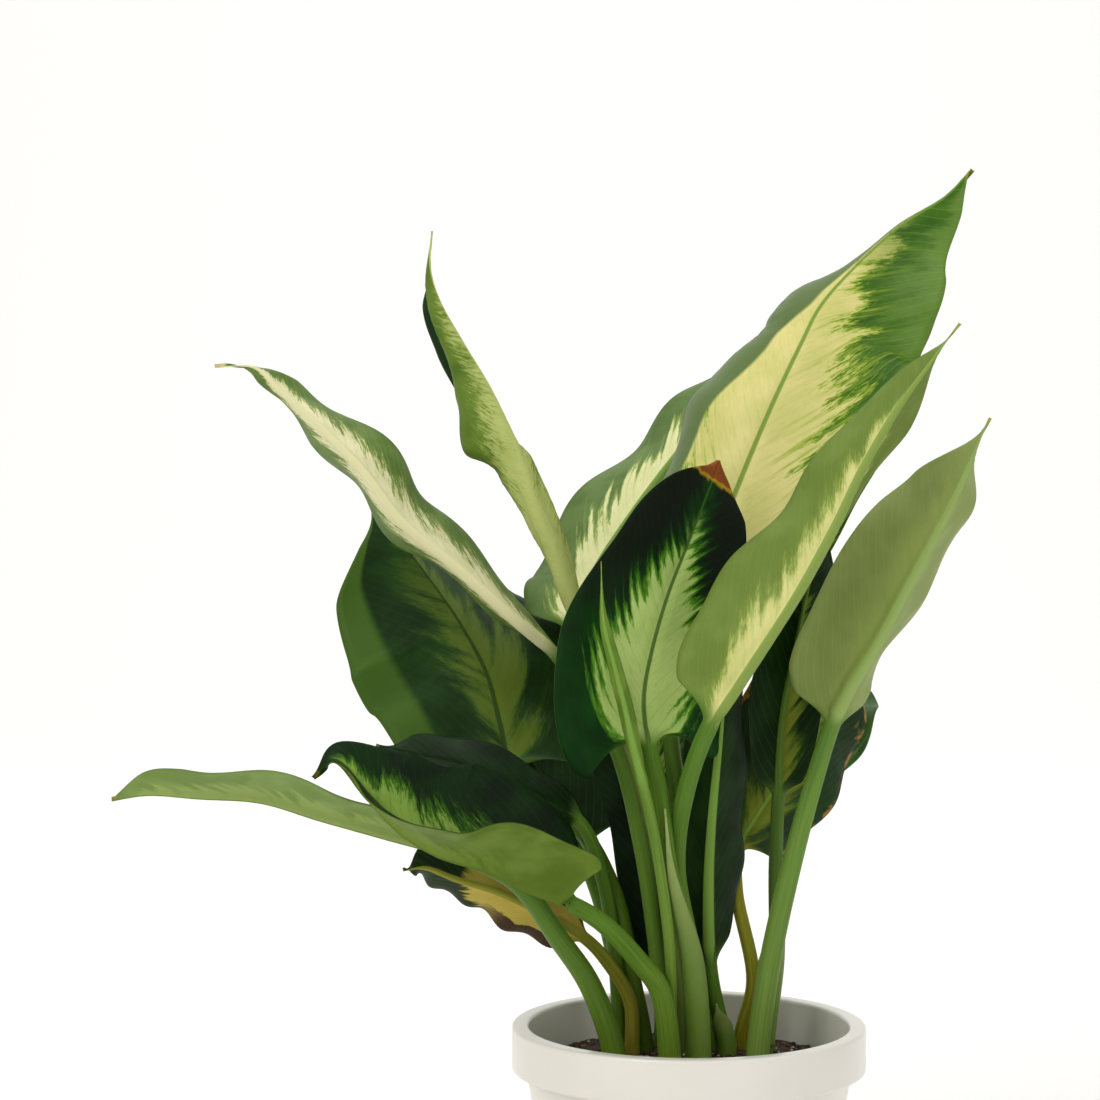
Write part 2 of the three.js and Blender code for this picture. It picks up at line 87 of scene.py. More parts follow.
# ---- how a leaf is laid out ----
ROOT_DEPTH = 34.0
STRAIGHT = 10.0
NECK = 4.0
PETIOLE_ROWS = 44
BLADE_ROWS = 150
ROW_CROWDING = 1.25
LAST_ROW = 0.995
LAST_PLACE = 0.998
CURVE_STEP = 1e-4
HALF_COLUMNS = 16
COLUMN_CROWDING = 1.5
ROUND_BASE = 0.5
RIB_TAPER = 0.75
TIP_TAPER = 0.7
WAVE_START = 0.2
RUFFLE_RATE = 2.7
RUFFLE_SHIFT = 0.13
TIP_START = 0.72
JOIN_SHARE = 0.07
LOBE_SHARE = 0.3
MIDDLE_HALF = 0.42
MARGIN_HALF = 0.28
THINNEST_HALF = 0.12
THIN_RIB = 0.9
GROOVE_SHARE = 0.3
VEIN_SPACING = 6.5
VEIN_LEAN = 1.15
VEIN_CURVE = 0.4
VEIN_SWELL = 0.22
SWELL_FLATNESS = 0.7
SWELL_FADE = 0.6
SWELL_WIDTH = 20.0
SHEATH_NARROWS = 0.15
SHEATH_LEANS = 0.6
SHEATH_TIP = 0.06
VIEWER = np.array([0.0, -1.0, 0.0])

# ---- how a leaf is painted ----
SOFT_NOISE = (0.3, 0.7)
SOFT_CLOUDS = (0.35, 0.7)
BROAD_CLOUDS = (0.35, 0.65)
TOOTH_NOISE = (0.3, 0.6)
LIGHT_STREAKS = (0.48, 0.68)
DARK_STREAKS = (0.52, 0.34)
DARK_REACH = 0.7
BAND_OVERLAP = 0.3
FLECK_TINT = 0.14
VEIN_TINT = 0.16
BROAD_TINT = 0.2
UNDER_VEIN_SHARE = 0.8
RIB_SHOW = 0.85
OUTER_START = 0.2
OUTER_FADE = 0.3
PATCH_NOISE = (0.78, 0.86)
SPOT_NOISE = (0.66, 0.74)
SPOT_SHOW = 0.7
BURNT_SHARE = (0.98, 1.04)
BURNT_RAGGED = 0.5
BURNT_FADE = 0.15
TIP_FRAYED = 0.06
TIP_FADE = 0.03
TIP_EDGE = 0.015
STALK_CHANGE = (0.15, 0.95)
STALK_STREAKS = 0.35
UNEVEN_GLOSS = 0.1
VEIN_DEPTH = 0.4
HALF_BEAT = VEIN_SPACING * CM_PER_MM / 2.0
VEIN_WANDER = 0.16
VEIN_LINE = 0.84
RIB_NARROWING = 0.7
RIB_CORE = 0.55
FIRST_EDGE = 0.12
UNDER_ROUGHNESS = 0.56
TIP_END = 0.985
RUST: Colour = (150, 96, 40)
SHEATH_STREAK: Colour = (104, 138, 58)

# ---- the camera's place, as in the photograph ----
CAMERA_ELEVATION = math.radians(4.0)
CAMERA_DISTANCE = 1500.0
CAMERA_TARGET = (-58.8, 0.0, 326.2)
MM_PER_PIXEL = 0.42
PICTURE_PIXELS = 1100
SENSOR_WIDTH = 36.0
CAMERA_CLIP = (0.05, 50.0)


class Face(Enum):
    """Which face of a blade looks to the front."""

    UPPER = 1
    UNDER = -1


class Slot(Enum):
    """The record's material slots."""

    POT = "pot"
    SOIL = "soil"
    CREAM = "leaf_cream"
    UNDERSIDE = "leaf_underside"
    YOUNG = "leaf_young"
    DARK = "leaf_dark"
    PALE = "leaf_pale"
    OLD = "leaf_old"


def linear(colour: Colour) -> tuple[float, float, float, float]:
    """Turns a screen colour of 0 to 255 into the linear colour that shaders use.

    Args:
        colour: red, green and blue.

    Returns:
        Linear red, green, blue and an alpha of one.
    """
    share = np.array(colour, float) / 255.0
    low = share / 12.92
    high = ((share + 0.055) / 1.055) ** 2.4
    return (*np.where(share <= 0.04045, low, high).tolist(), 1.0)


def smooth(value: Array, start: float, end: float) -> Array:
    """Eases from 0 at start to 1 at end: with x the share of the way, x squared times (3 - 2 x)."""
    x = np.clip((value - start) / (end - start), 0.0, 1.0)
    return x * x * (3.0 - 2.0 * x)


def mixed(first: Array, second: Array, share: Array) -> Array:
    """Goes from first to second by a share of 0 to 1."""
    return first + (second - first) * share


def stations(values: Stations, t: Array) -> Array:
    """Reads evenly spaced values, each step from one value to the next being eased.

    Args:
        values: the values, the first at 0 and the last at 1.
        t: where they are read.

    Returns:
        One value for each entry of t.
    """
    table = np.array(values, float)
    place = t * (len(table) - 1)
    index = np.clip(np.floor(place).astype(int), 0, len(table) - 2)
    return mixed(table[index], table[index + 1], smooth(place - index, 0.0, 1.0))


# ---- meshes ----
def smooth_mesh(name: str, points: Array, faces: list) -> bpy.types.Mesh:
    """Makes a mesh with smooth shading.

    Args:
        name: the mesh's name.
        points: its points in metres, one row each.
        faces: the point numbers of each face, facing out.

    Returns:
        The mesh.
    """
    mesh = bpy.data.meshes.new(name)
    mesh.from_pydata(points.tolist(), [], faces)
    mesh.validate()
    mesh.polygons.foreach_set("use_smooth", np.ones(len(mesh.polygons), bool))
    mesh.update()
    return mesh


def add_object(name: str, data: bpy.types.ID) -> bpy.types.Object:
    """Adds an object that shows a mesh, light or camera to the scene.

    Args:
        name: the object's name.
        data: what it shows.

    Returns:
        The object.
    """
    added = bpy.data.objects.new(name, data)
    bpy.context.scene.collection.objects.link(added)
    return added


def make_piece(
    name: str, points: Array, faces: list, slot: Slot, finish: Material, *nodes: str
) -> bpy.types.Object:
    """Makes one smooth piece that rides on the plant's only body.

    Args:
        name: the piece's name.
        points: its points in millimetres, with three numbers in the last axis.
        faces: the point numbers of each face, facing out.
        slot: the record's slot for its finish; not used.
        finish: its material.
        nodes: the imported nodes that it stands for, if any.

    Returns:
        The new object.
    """
    flat = points.reshape(-1, 3)
    piece = add_object(name, smooth_mesh(name, flat * MM, faces))
    piece.data.materials.append(finish)
    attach(piece, "root")
    if nodes:
        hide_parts(*nodes)
    log.info("%s: %d points, %d faces", name, len(flat), len(faces))
    return piece


def add_vectors(piece: bpy.types.Object, name: str, values: Array) -> None:
    """Stores three numbers per point of a piece under a name, for its material to read."""
    attribute = piece.data.attributes.new(name, "FLOAT_VECTOR", "POINT")
    attribute.data.foreach_set("vector", values.astype(np.float32).ravel())


def wall_faces(rows: int, count: int) -> Array:
    """Lists the quads that join neighbouring rings, four point numbers each, facing out.

    Args:
        rows: how many rings there are.
        count: how many points a ring has.

    Returns:
        One row of four point numbers for each quad.
    """
    row = np.arange(rows - 1)[:, None] * count
    here = np.arange(count)[None, :]
    after = (here + 1) % count
    walls = np.stack([row + here, row + after, row + count + after, row + count + here], axis=-1)
    return walls.reshape(-1, 4)


def skin_faces(rows: int, count: int) -> list:
    """Lists the faces of a closed skin made of rings that are flattened pairs of faces.

    Each ring runs along its near face and back along its far face. Neighbouring rings are
    joined by quads, and the first and last ring are closed by quads between the two faces.

    Args:
        rows: how many rings there are.
        count: how many points a ring has, an even number.

    Returns:
        Four point numbers per face, facing out.
    """
    j = np.arange(count // 2 - 1)
    k = count - 1 - j
    last = (rows - 1) * count
    first_cap = np.stack([j, k, k - 1, j + 1], axis=-1)
    last_cap = np.stack([last + j, last + j + 1, last + k - 1, last + k], axis=-1)
    return np.concatenate([wall_faces(rows, count), first_cap, last_cap]).tolist()


def lathe(profile: Array, sides: int) -> tuple[Array, list]:
    """Turns a profile about the Z axis: each point (r, z) becomes a ring of r cos a, r sin a, z.

    Args:
        profile: rows of radius and height, from the axis below, round the outside, back to it.
        sides: how many steps a ring has.

    Returns:
        Points and faces. The first and last profile points are single poles.
    """
    angle = np.linspace(0.0, 2.0 * math.pi, sides, endpoint=False)
    ring = profile[1:-1]
    x = ring[:, :1] * np.cos(angle)
    y = ring[:, :1] * np.sin(angle)
    z = np.repeat(ring[:, 1:], sides, axis=1)
    middle = np.stack([x, y, z], axis=-1).reshape(-1, 3)
    poles = np.array([[0.0, 0.0, profile[0, 1]], [0.0, 0.0, profile[-1, 1]]])
    here = range(sides)
    low = len(ring) * sides
    top = low - sides
    fan_low = [[low, (a + 1) % sides, a] for a in here]
    fan_top = [[low + 1, top + a, top + (a + 1) % sides] for a in here]
    walls = wall_faces(len(ring), sides).tolist()
    return np.concatenate([middle, poles]), walls + fan_low + fan_top


# ---- materials ----
@dataclass
class Graph:
    """One material's node tree, with short calls that add a node and return its output.

    Every Value argument is a number, a screen colour or the output of another node.
    """

    material: Material

    @classmethod
    def named(cls, name: str) -> "Graph":
        """Starts a new material that holds one Principled shader."""
        material = bpy.data.materials.new(name)
        material.use_nodes = True
        return cls(material)

    @property
    def shader(self) -> bpy.types.Node:
        """The material's Principled shader."""
        return next(n for n in self.material.node_tree.nodes if n.type == "BSDF_PRINCIPLED")

    def node(self, kind: str) -> bpy.types.Node:
        """Adds a node of one kind."""
        return self.material.node_tree.nodes.new(f"ShaderNode{kind}")

    def feed(self, socket: Socket, value: Value) -> None:
        """Links an output to a socket, or sets a number or a screen colour there."""
        if isinstance(value, Socket):
            self.material.node_tree.links.new(value, socket)
        else:
            socket.default_value = linear(value) if isinstance(value, tuple) else value

    def math(self, operation: str, *values: Value) -> Socket:
        """Adds a Math node with up to three inputs."""
        node = self.node("Math")
        node.operation = operation
        for socket, value in zip(node.inputs, values):
            self.feed(socket, value)
        return node.outputs[0]

    def times(self, first: Value, second: Value) -> Socket:
        """Multiplies two numbers."""
        return self.math("MULTIPLY", first, second)

    def scaled(self, value: Value, factor: Value, plus: Value) -> Socket:
        """Multiplies a number by a factor and adds another to it."""
        return self.math("MULTIPLY_ADD", value, factor, plus)

    def swing(self, value: Value) -> Socket:
        """Turns 0 to 1 into minus a half to a half."""
        return self.math("SUBTRACT", value, 0.5)

    def eased(self, value: Value, start: Value, end: Value) -> Socket:
        """Goes from 0 at start to 1 at end with eased ends."""
        node = self.node("MapRange")
        node.interpolation_type = "SMOOTHSTEP"
        for name, number in (("Value", value), ("From Min", start), ("From Max", end)):
            self.feed(node.inputs[name], number)
        return node.outputs[0]

    def mix(self, share: Value, first: Value, second: Value) -> Socket:
        """Mixes two colours, each a screen colour or an output."""
        node = self.node("Mix")
        node.data_type = "RGBA"
        colours = (s for s in node.inputs if s.type == "RGBA")
        for socket, value in zip((node.inputs[0], *colours), (share, first, second)):
            self.feed(socket, value)
        return next(s for s in node.outputs if s.type == "RGBA")

    def choose(self, share: Value, first: Value, second: Value) -> Socket:
        """Mixes two numbers."""
        node = self.node("Mix")
        numbers = (s for s in node.inputs if s.type == "VALUE")
        for socket, value in zip(numbers, (share, first, second)):
            self.feed(socket, value)
        return node.outputs[0]

    def stations(self, value: Value, numbers: Stations) -> Socket:
        """Reads evenly spaced numbers of 0 to 1 at value, joined by eased steps."""
        node = self.node("ValToRGB")
        ramp = node.color_ramp
        ramp.interpolation = "EASE"
        while len(ramp.elements) < len(numbers):
            ramp.elements.new(0.5)
        for i, number in enumerate(numbers):
            ramp.elements[i].position = i / (len(numbers) - 1)
            ramp.elements[i].color = (number, number, number, 1.0)
        self.feed(node.inputs[0], value)
        return node.outputs[0]

    def combined(self, x: Value, y: Value, z: Value) -> Socket:
        """Joins three numbers into one vector."""
        node = self.node("CombineXYZ")
        for socket, value in zip(node.inputs, (x, y, z)):
            self.feed(socket, value)
        return node.outputs[0]

    def attribute(self, name: str) -> list[Socket]:
        """Reads the three numbers stored under a name on the piece's points."""
        stored, parts = self.node("Attribute"), self.node("SeparateXYZ")
        stored.attribute_name = name
        self.feed(parts.inputs[0], stored.outputs["Vector"])
        return list(parts.outputs)

    def noise(
        self, scale: float, detail: float = 2.0, rough: float = 0.5, vector: Socket | None = None
    ) -> Socket:
        """Adds soft noise of about 0.25 to 0.75.

        Args:
            scale: how many of its coarsest waves one unit of the vector holds.
            detail: how many finer waves are added.
            rough: how strong the finer ones are.
            vector: what it is read at, or nothing for the Object coordinates in metres.

        Returns:
            The noise.
        """
        node = self.node("TexNoise")
        if vector is None:
            vector = self.node("TexCoord").outputs["Object"]
        self.feed(node.inputs["Vector"], vector)
        for name, value in (("Scale", scale), ("Detail", detail), ("Roughness", rough)):
            node.inputs[name].default_value = value
        return node.outputs[0]

    def clouds(self, scale: float, low: float, high: float, **noise: object) -> Socket:
        """Adds noise that is eased from 0 at low to 1 at high."""
        return self.eased(self.noise(scale, **noise), low, high)

    def bump(self, height: Value, strength: float, depth: float) -> None:
        """Roughens the shader's surface by a height."""
        node = self.node("Bump")
        for name, value in (("Strength", strength), ("Distance", depth), ("Height", height)):
            self.feed(node.inputs[name], value)
        self.feed(self.shader.inputs["Normal"], node.outputs[0])

    def finish(self, colour: Value, roughness: Value, **constants: float) -> Material:
        """Feeds the shader its colour and roughness and sets its constant sockets.

        Args:
            colour: a screen colour or an output.
            roughness: a number or an output.
            constants: socket names with underscores for spaces, and their values.

        Returns:
            The finished material.
        """
        for name, value in {"Base_Color": colour, "Roughness": roughness, **constants}.items():
            self.feed(self.shader.inputs[name.replace("_", " ")], value)
        return self.material


@dataclass(frozen=True)
class Variegation:
    """Where the pale middle of a blade ends, and how ragged its edge is.

    left and right give the edge as a share of the half blade's width at even stations from
    the blade's base to its tip; the right is as the left where it isn't given. jag is how far
    the fingers along the veins reach past it, finger their breadth in centimetres, teeth how
    far the small points between the veins do, fleck how far the fine mottling does, and soft
    the width of its blurred edge. band is the width of the yellow-green between the pale
    middle and the green. streaks is the strength of the thin streaks that run on past the
    edge and back into the pale middle, and streak_reach how far they run.
    """

    left: Stations = (0.0, 0.0, 0.0)
    right: Stations | None = None
    jag: float = 0.4
    fleck: float = 0.12
    soft: float = 0.04
    band: float = 0.12
    finger: float = 0.5
    teeth: float = 0.08
    streaks: float = 0.5
    streak_reach: float = 0.4


@dataclass(frozen=True)
class Upper:
    """The colours of a blade's upper face: green and shade alternate on it, turning lies
    beside the cream middle, and rib is the midrib's."""

    green: Colour = (62, 104, 38)
    shade: Colour = (38, 76, 28)
    turning: Colour = (140, 172, 62)
    cream: Colour = (228, 220, 150)
    rib: Colour = (112, 152, 62)


@dataclass(frozen=True)
class Under(Upper):
    """The same colours for the lower face, where the lateral veins are the midrib's colour."""

    green: Colour = (110, 138, 66)
    shade: Colour = (88, 118, 52)
    turning: Colour = (158, 178, 88)
    cream: Colour = (230, 226, 162)
    rib: Colour = (118, 152, 62)


@dataclass(frozen=True)
class LeafFinish:
    """The colours and wear of one leaf, and the seed that makes its pattern its own.

    vein is the colour of the upper face's lateral veins, vein_show their strength and
    rib_width the midrib's width in centimetres. outer is a further green away from the
    middle, from outer_start along the blade and outer_reach beyond the edge. gloss is the
    roughness of the upper face and shine the strength of its reflection. yellowing and
    withered are the shares of yellow patches and of brown margin, the latter as far along as
    withered_to. tip_brown is the dry tip's length and tip_show its strength. hem is painted
    light: a strip on the left half, outside lit_hem_edge and blurred by lit_hem_soft, coloured
    lighter, or with a painted grey sheen, where the margin bends back towards the light.
    """

    pattern: Variegation
    seed: float
    upper: Upper = Upper()
    under: Upper = Under()
    outer: Colour | None = None
    outer_start: float = -1.0
    outer_reach: float = 0.4
    vein: Colour = (96, 138, 60)
    vein_show: float = 0.12
    rib_width: float = 0.11
    stalk_low: Colour = (98, 126, 32)
    stalk_high: Colour = (88, 124, 36)
    gloss: float = 0.44
    shine: float = 0.2
    yellowing: float = 0.0
    yellow: Colour = (196, 172, 70)
    withered: float = 0.0
    withered_to: float = 1.2
    brown: Colour = (64, 44, 26)
    tip_brown: float = 0.0
    tip_show: float = 0.4
    tip: Colour = (104, 104, 52)
    lit_hem_edge: Stations = ()
    lit_hem: Colour = (92, 128, 46)
    lit_hem_soft: float = 0.05


@dataclass(frozen=True)
class DarkFinish(LeafFinish):
    """The finish of a dark leaf, which shines less than the others."""

    gloss: float = 0.5
    shine: float = 0.12


@dataclass
class LeafPainter:
    """Paints one leaf with its finish, from the coordinates that the leaf's mesh carries.

    leaf_place holds the signed share across, the share along (minus 1 to 0 on the stalk)
    and 1 on the upper face. vein_place holds the distance along the veins' feet and the
    distance from the midrib, in centimetres, and how far the stalk has opened to a blade.
    """

    finish: LeafFinish
    graph: Graph

    def __post_init__(self) -> None:
        """Reads the coordinates and adds what several steps share.

        line marks the lateral veins, tint the darker parts of the pale middle, inside how far
        a point lies within the middle's edge, and pale and turn the middle and its margin.
        """
        g = self.graph
        self.across, self.along, self.upper = g.attribute("leaf_place")
        self.foot, self.sideways, self.opened = g.attribute("vein_place")
        self.share = g.math("ABSOLUTE", self.across)
        self.broad = g.clouds(60.0, *BROAD_CLOUDS)
        flecks = self.vein_noise(7.0, 3.5, shift=5.0, detail=3.0, rough=0.65)
        self.flecks = g.eased(flecks, *SOFT_NOISE)
        wander = self.vein_noise(1.0 / self.finish.pattern.finger, 0.35, scale=1.7)
        wander = g.scaled(wander, VEIN_WANDER, self.foot)
        self.beat = g.math("DIVIDE", g.math("PINGPONG", wander, HALF_BEAT), HALF_BEAT)
        self.line = g.eased(self.beat, VEIN_LINE, 1.0)
        tint = g.scaled(self.line, VEIN_TINT, g.times(self.broad, BROAD_TINT))
        self.tint = g.scaled(g.eased(self.flecks, 0.5, 1.0), FLECK_TINT, tint)
        self.inside, self.pale, self.turn = self.middle()

    def vein_noise(
        self, crossing: float, running: float, shift: float = 0.0, scale: float = 1.0,
        detail: float = 1.0, rough: float = 0.5
    ) -> Socket:
        """Adds noise that is stretched along the lateral veins.

        Args:
            crossing: waves per centimetre from vein to vein.
            running: waves per centimetre down a vein.
            shift: what is added to the leaf's seed.
            scale: a further scale on both.
            detail: how many finer waves are added.
            rough: how strong the finer ones are.

        Returns:
            The noise.
        """
        g = self.graph
        vector = g.combined(
            g.times(self.foot, crossing), g.times(self.sideways, running), self.finish.seed + shift
        )
        return g.noise(scale, detail, rough, vector)

    def middle(self) -> tuple[Socket, Socket, Socket]:
        """Marks the pale middle: where its edge, moved by fingers, teeth and flecks, lies outside.

        Thin light streaks run on from it into the green, and thin green ones into it.

        Returns:
            How far a point lies inside the edge, the share of the pale middle and the share
            of the yellow-green beside it.
        """
        g, p = self.graph, self.finish.pattern
        on_right = g.math("GREATER_THAN", self.across, 0.0)
        left, right = (g.stations(self.along, values) for values in (p.left, p.right or p.left))
        edge = g.choose(on_right, left, right)
        fingers = g.eased(self.vein_noise(1.0 / p.finger, 0.35), *SOFT_NOISE)
        tooth_size = g.eased(self.vein_noise(1.1, 0.3, shift=9.0), *TOOTH_NOISE)
        tooth = g.times(g.scaled(self.beat, -2.0, 1.0), tooth_size)
        reach = g.scaled(g.swing(fingers), p.jag, edge)
        reach = g.scaled(tooth, p.teeth, reach)
        reach = g.scaled(g.swing(self.flecks), p.fleck, reach)
        inside = g.math("SUBTRACT", reach, self.share)
        shown = g.eased(edge, 0.0, FIRST_EDGE)
        pale = g.times(g.eased(inside, -p.soft, p.soft), shown)
        turn = g.eased(inside, -p.band - p.soft, p.soft - p.band * BAND_OVERLAP)
        turn = g.times(turn, shown)

        thin = self.vein_noise(2.6, 0.4, shift=3.0, detail=2.0, rough=0.6)
        light = g.times(g.eased(thin, *LIGHT_STREAKS), g.eased(inside, -p.streak_reach, 0.0))
        turn = g.math("MAXIMUM", turn, g.times(g.times(light, p.streaks), shown))
        deep = g.eased(inside, p.streak_reach * DARK_REACH, 0.0)
        dark = g.times(g.eased(thin, *DARK_STREAKS), deep)
        return inside, g.times(pale, g.scaled(dark, -p.streaks, 1.0)), turn

    def face(self, green: Socket, paint: Upper, vein: Colour, show: float) -> Socket:
        """Lays one face's lateral veins, yellow-green and pale middle over its green.

        Args:
            green: the face's green.
            paint: its colours.
            vein: the colour of its lateral veins.
            show: their strength.

        Returns:
            The face's colour without its midrib.
        """
        g = self.graph
        green = g.mix(g.times(self.line, show), green, vein)
        milky = g.mix(self.tint, paint.cream, paint.turning)
        return g.mix(self.pale, g.mix(self.turn, green, paint.turning), milky)

    def blade(self) -> Socket:
        """Mixes the colours of both faces and lays the midrib over them.

        Returns:
            The fresh blade's colour.
        """
        g, f = self.graph, self.finish
        width = g.scaled(self.along, -RIB_NARROWING * f.rib_width, f.rib_width)
        rib = g.eased(g.math("ABSOLUTE", self.sideways), g.times(width, RIB_CORE), width)
        rib = g.math("SUBTRACT", 1.0, rib)
        top, below = (g.mix(self.broad, paint.green, paint.shade) for paint in (f.upper, f.under))
        if f.outer:
            reached = g.eased(self.inside, -f.outer_reach, -f.outer_reach * OUTER_START)
            reached = g.math("SUBTRACT", 1.0, reached)
            further = g.eased(self.along, f.outer_start, f.outer_start + OUTER_FADE)
            reached = g.times(reached, further)
            top = g.mix(reached, top, f.outer)
        top = self.face(top, f.upper, f.vein, f.vein_show)
        top = g.mix(g.times(rib, RIB_SHOW), top, f.upper.rib)
        # painted light: the hem colour is a painted highlight, with a painted grey sheen on some
        # leaves, on the left half's outer strip where the margin bends back towards the light
        if f.lit_hem_edge:
            inner = g.stations(self.along, f.lit_hem_edge)
            strip = g.eased(self.share, inner, g.math("ADD", inner, f.lit_hem_soft))
            strip = g.times(strip, g.math("LESS_THAN", self.across, 0.0))
            top = g.mix(strip, top, f.lit_hem)
        below = self.face(below, f.under, f.under.rib, f.vein_show * UNDER_VEIN_SHARE)
        return g.mix(self.upper, g.mix(rib, below, f.under.rib), top)

    def worn(self, blade: Socket) -> Socket:
        """Lays wear over the blade's colour.

        Args:
            blade: the colour of the fresh blade.

        Returns:
            That colour with rusty yellow patches, a withered margin and a dry tip.
        """
        g, f = self.graph, self.finish
        if f.yellowing > 0.0:
            low, high = (edge - f.yellowing for edge in PATCH_NOISE)
            patch = g.clouds(38.0, low, high, detail=3.0, rough=0.6)
            spots = g.times(g.clouds(420.0, *SPOT_NOISE), SPOT_SHOW)
            blade = g.mix(patch, blade, g.mix(spots, f.yellow, RUST))
        if f.withered > 0.0:
            ragged = g.scaled(g.swing(g.noise(160.0, detail=3.0)), BURNT_RAGGED, self.share)
            burnt = g.eased(ragged, *(edge - f.withered for edge in BURNT_SHARE))
            fading = g.eased(self.along, f.withered_to, f.withered_to - BURNT_FADE)
            blade = g.mix(g.times(burnt, fading), blade, f.brown)
        frayed = g.scaled(g.swing(g.noise(260.0)), TIP_FRAYED, self.along)
        start = TIP_END - f.tip_brown
        fading = g.times(g.eased(frayed, start - TIP_FADE, start), f.tip_show)
        dry = g.times(g.eased(frayed, start, start + TIP_EDGE), f.tip_show)
        return g.mix(dry, g.mix(fading, blade, f.yellow), f.tip)

    def stalk(self) -> Socket:
        """Mixes the stalk's colours, with darker streaks that run up it.

        Returns:
            The stalk's colour.
        """
        g, f = self.graph, self.finish
        lines = g.combined(g.times(self.sideways, 22.0), g.times(self.along, 3.0), f.seed)
        streak = g.times(g.clouds(1.0, *SOFT_CLOUDS, vector=lines), STALK_STREAKS)
        height = g.math("ADD", self.along, 1.0)
        colour = g.mix(g.eased(height, *STALK_CHANGE), f.stalk_low, f.stalk_high)
        return g.mix(streak, colour, f.upper.shade)

    def material(self) -> Material:
        """Joins stalk and blade, and adds the gloss and the finest relief.

        Returns:
            The leaf's material.
        """
        g, f = self.graph, self.finish
        colour = g.mix(self.opened, self.stalk(), self.worn(self.blade()))
        rough = g.choose(self.upper, UNDER_ROUGHNESS, f.gloss)
        rough = g.scaled(g.swing(self.broad), UNEVEN_GLOSS, rough)
        g.bump(g.scaled(self.line, -VEIN_DEPTH, g.noise(900.0)), strength=0.2, depth=0.0003)
        return g.finish(colour, rough, Specular_IOR_Level=f.shine)


# ---- leaves ----
@dataclass(frozen=True)
class Half:
    """How one half of a blade is bent, in degrees at even stations from base to tip.

    fold turns the half out of the picture plane at the midrib, plus towards the viewer, and
    curl is the further turn from the midrib to the margin.
    """

    fold: Stations
    curl: Stations


@dataclass
class Rows:
    """The places along a leaf where its cross-section is worked out, one entry each.

    centre is the section's middle; tangent, side and front are its axes along the leaf, to
    the right and to the viewer. t is the share along the blade, and along is the same with
    minus 1 to 0 on the stalk. length is the way from the leaf's foot, radius that of the
    stalk or midrib, and opened how far the stalk has opened to a blade.
    """

    centre: Array
    tangent: Array
    side: Array
    front: Array
    t: Array
    along: Array
    length: Array
    radius: Array
    opened: Array


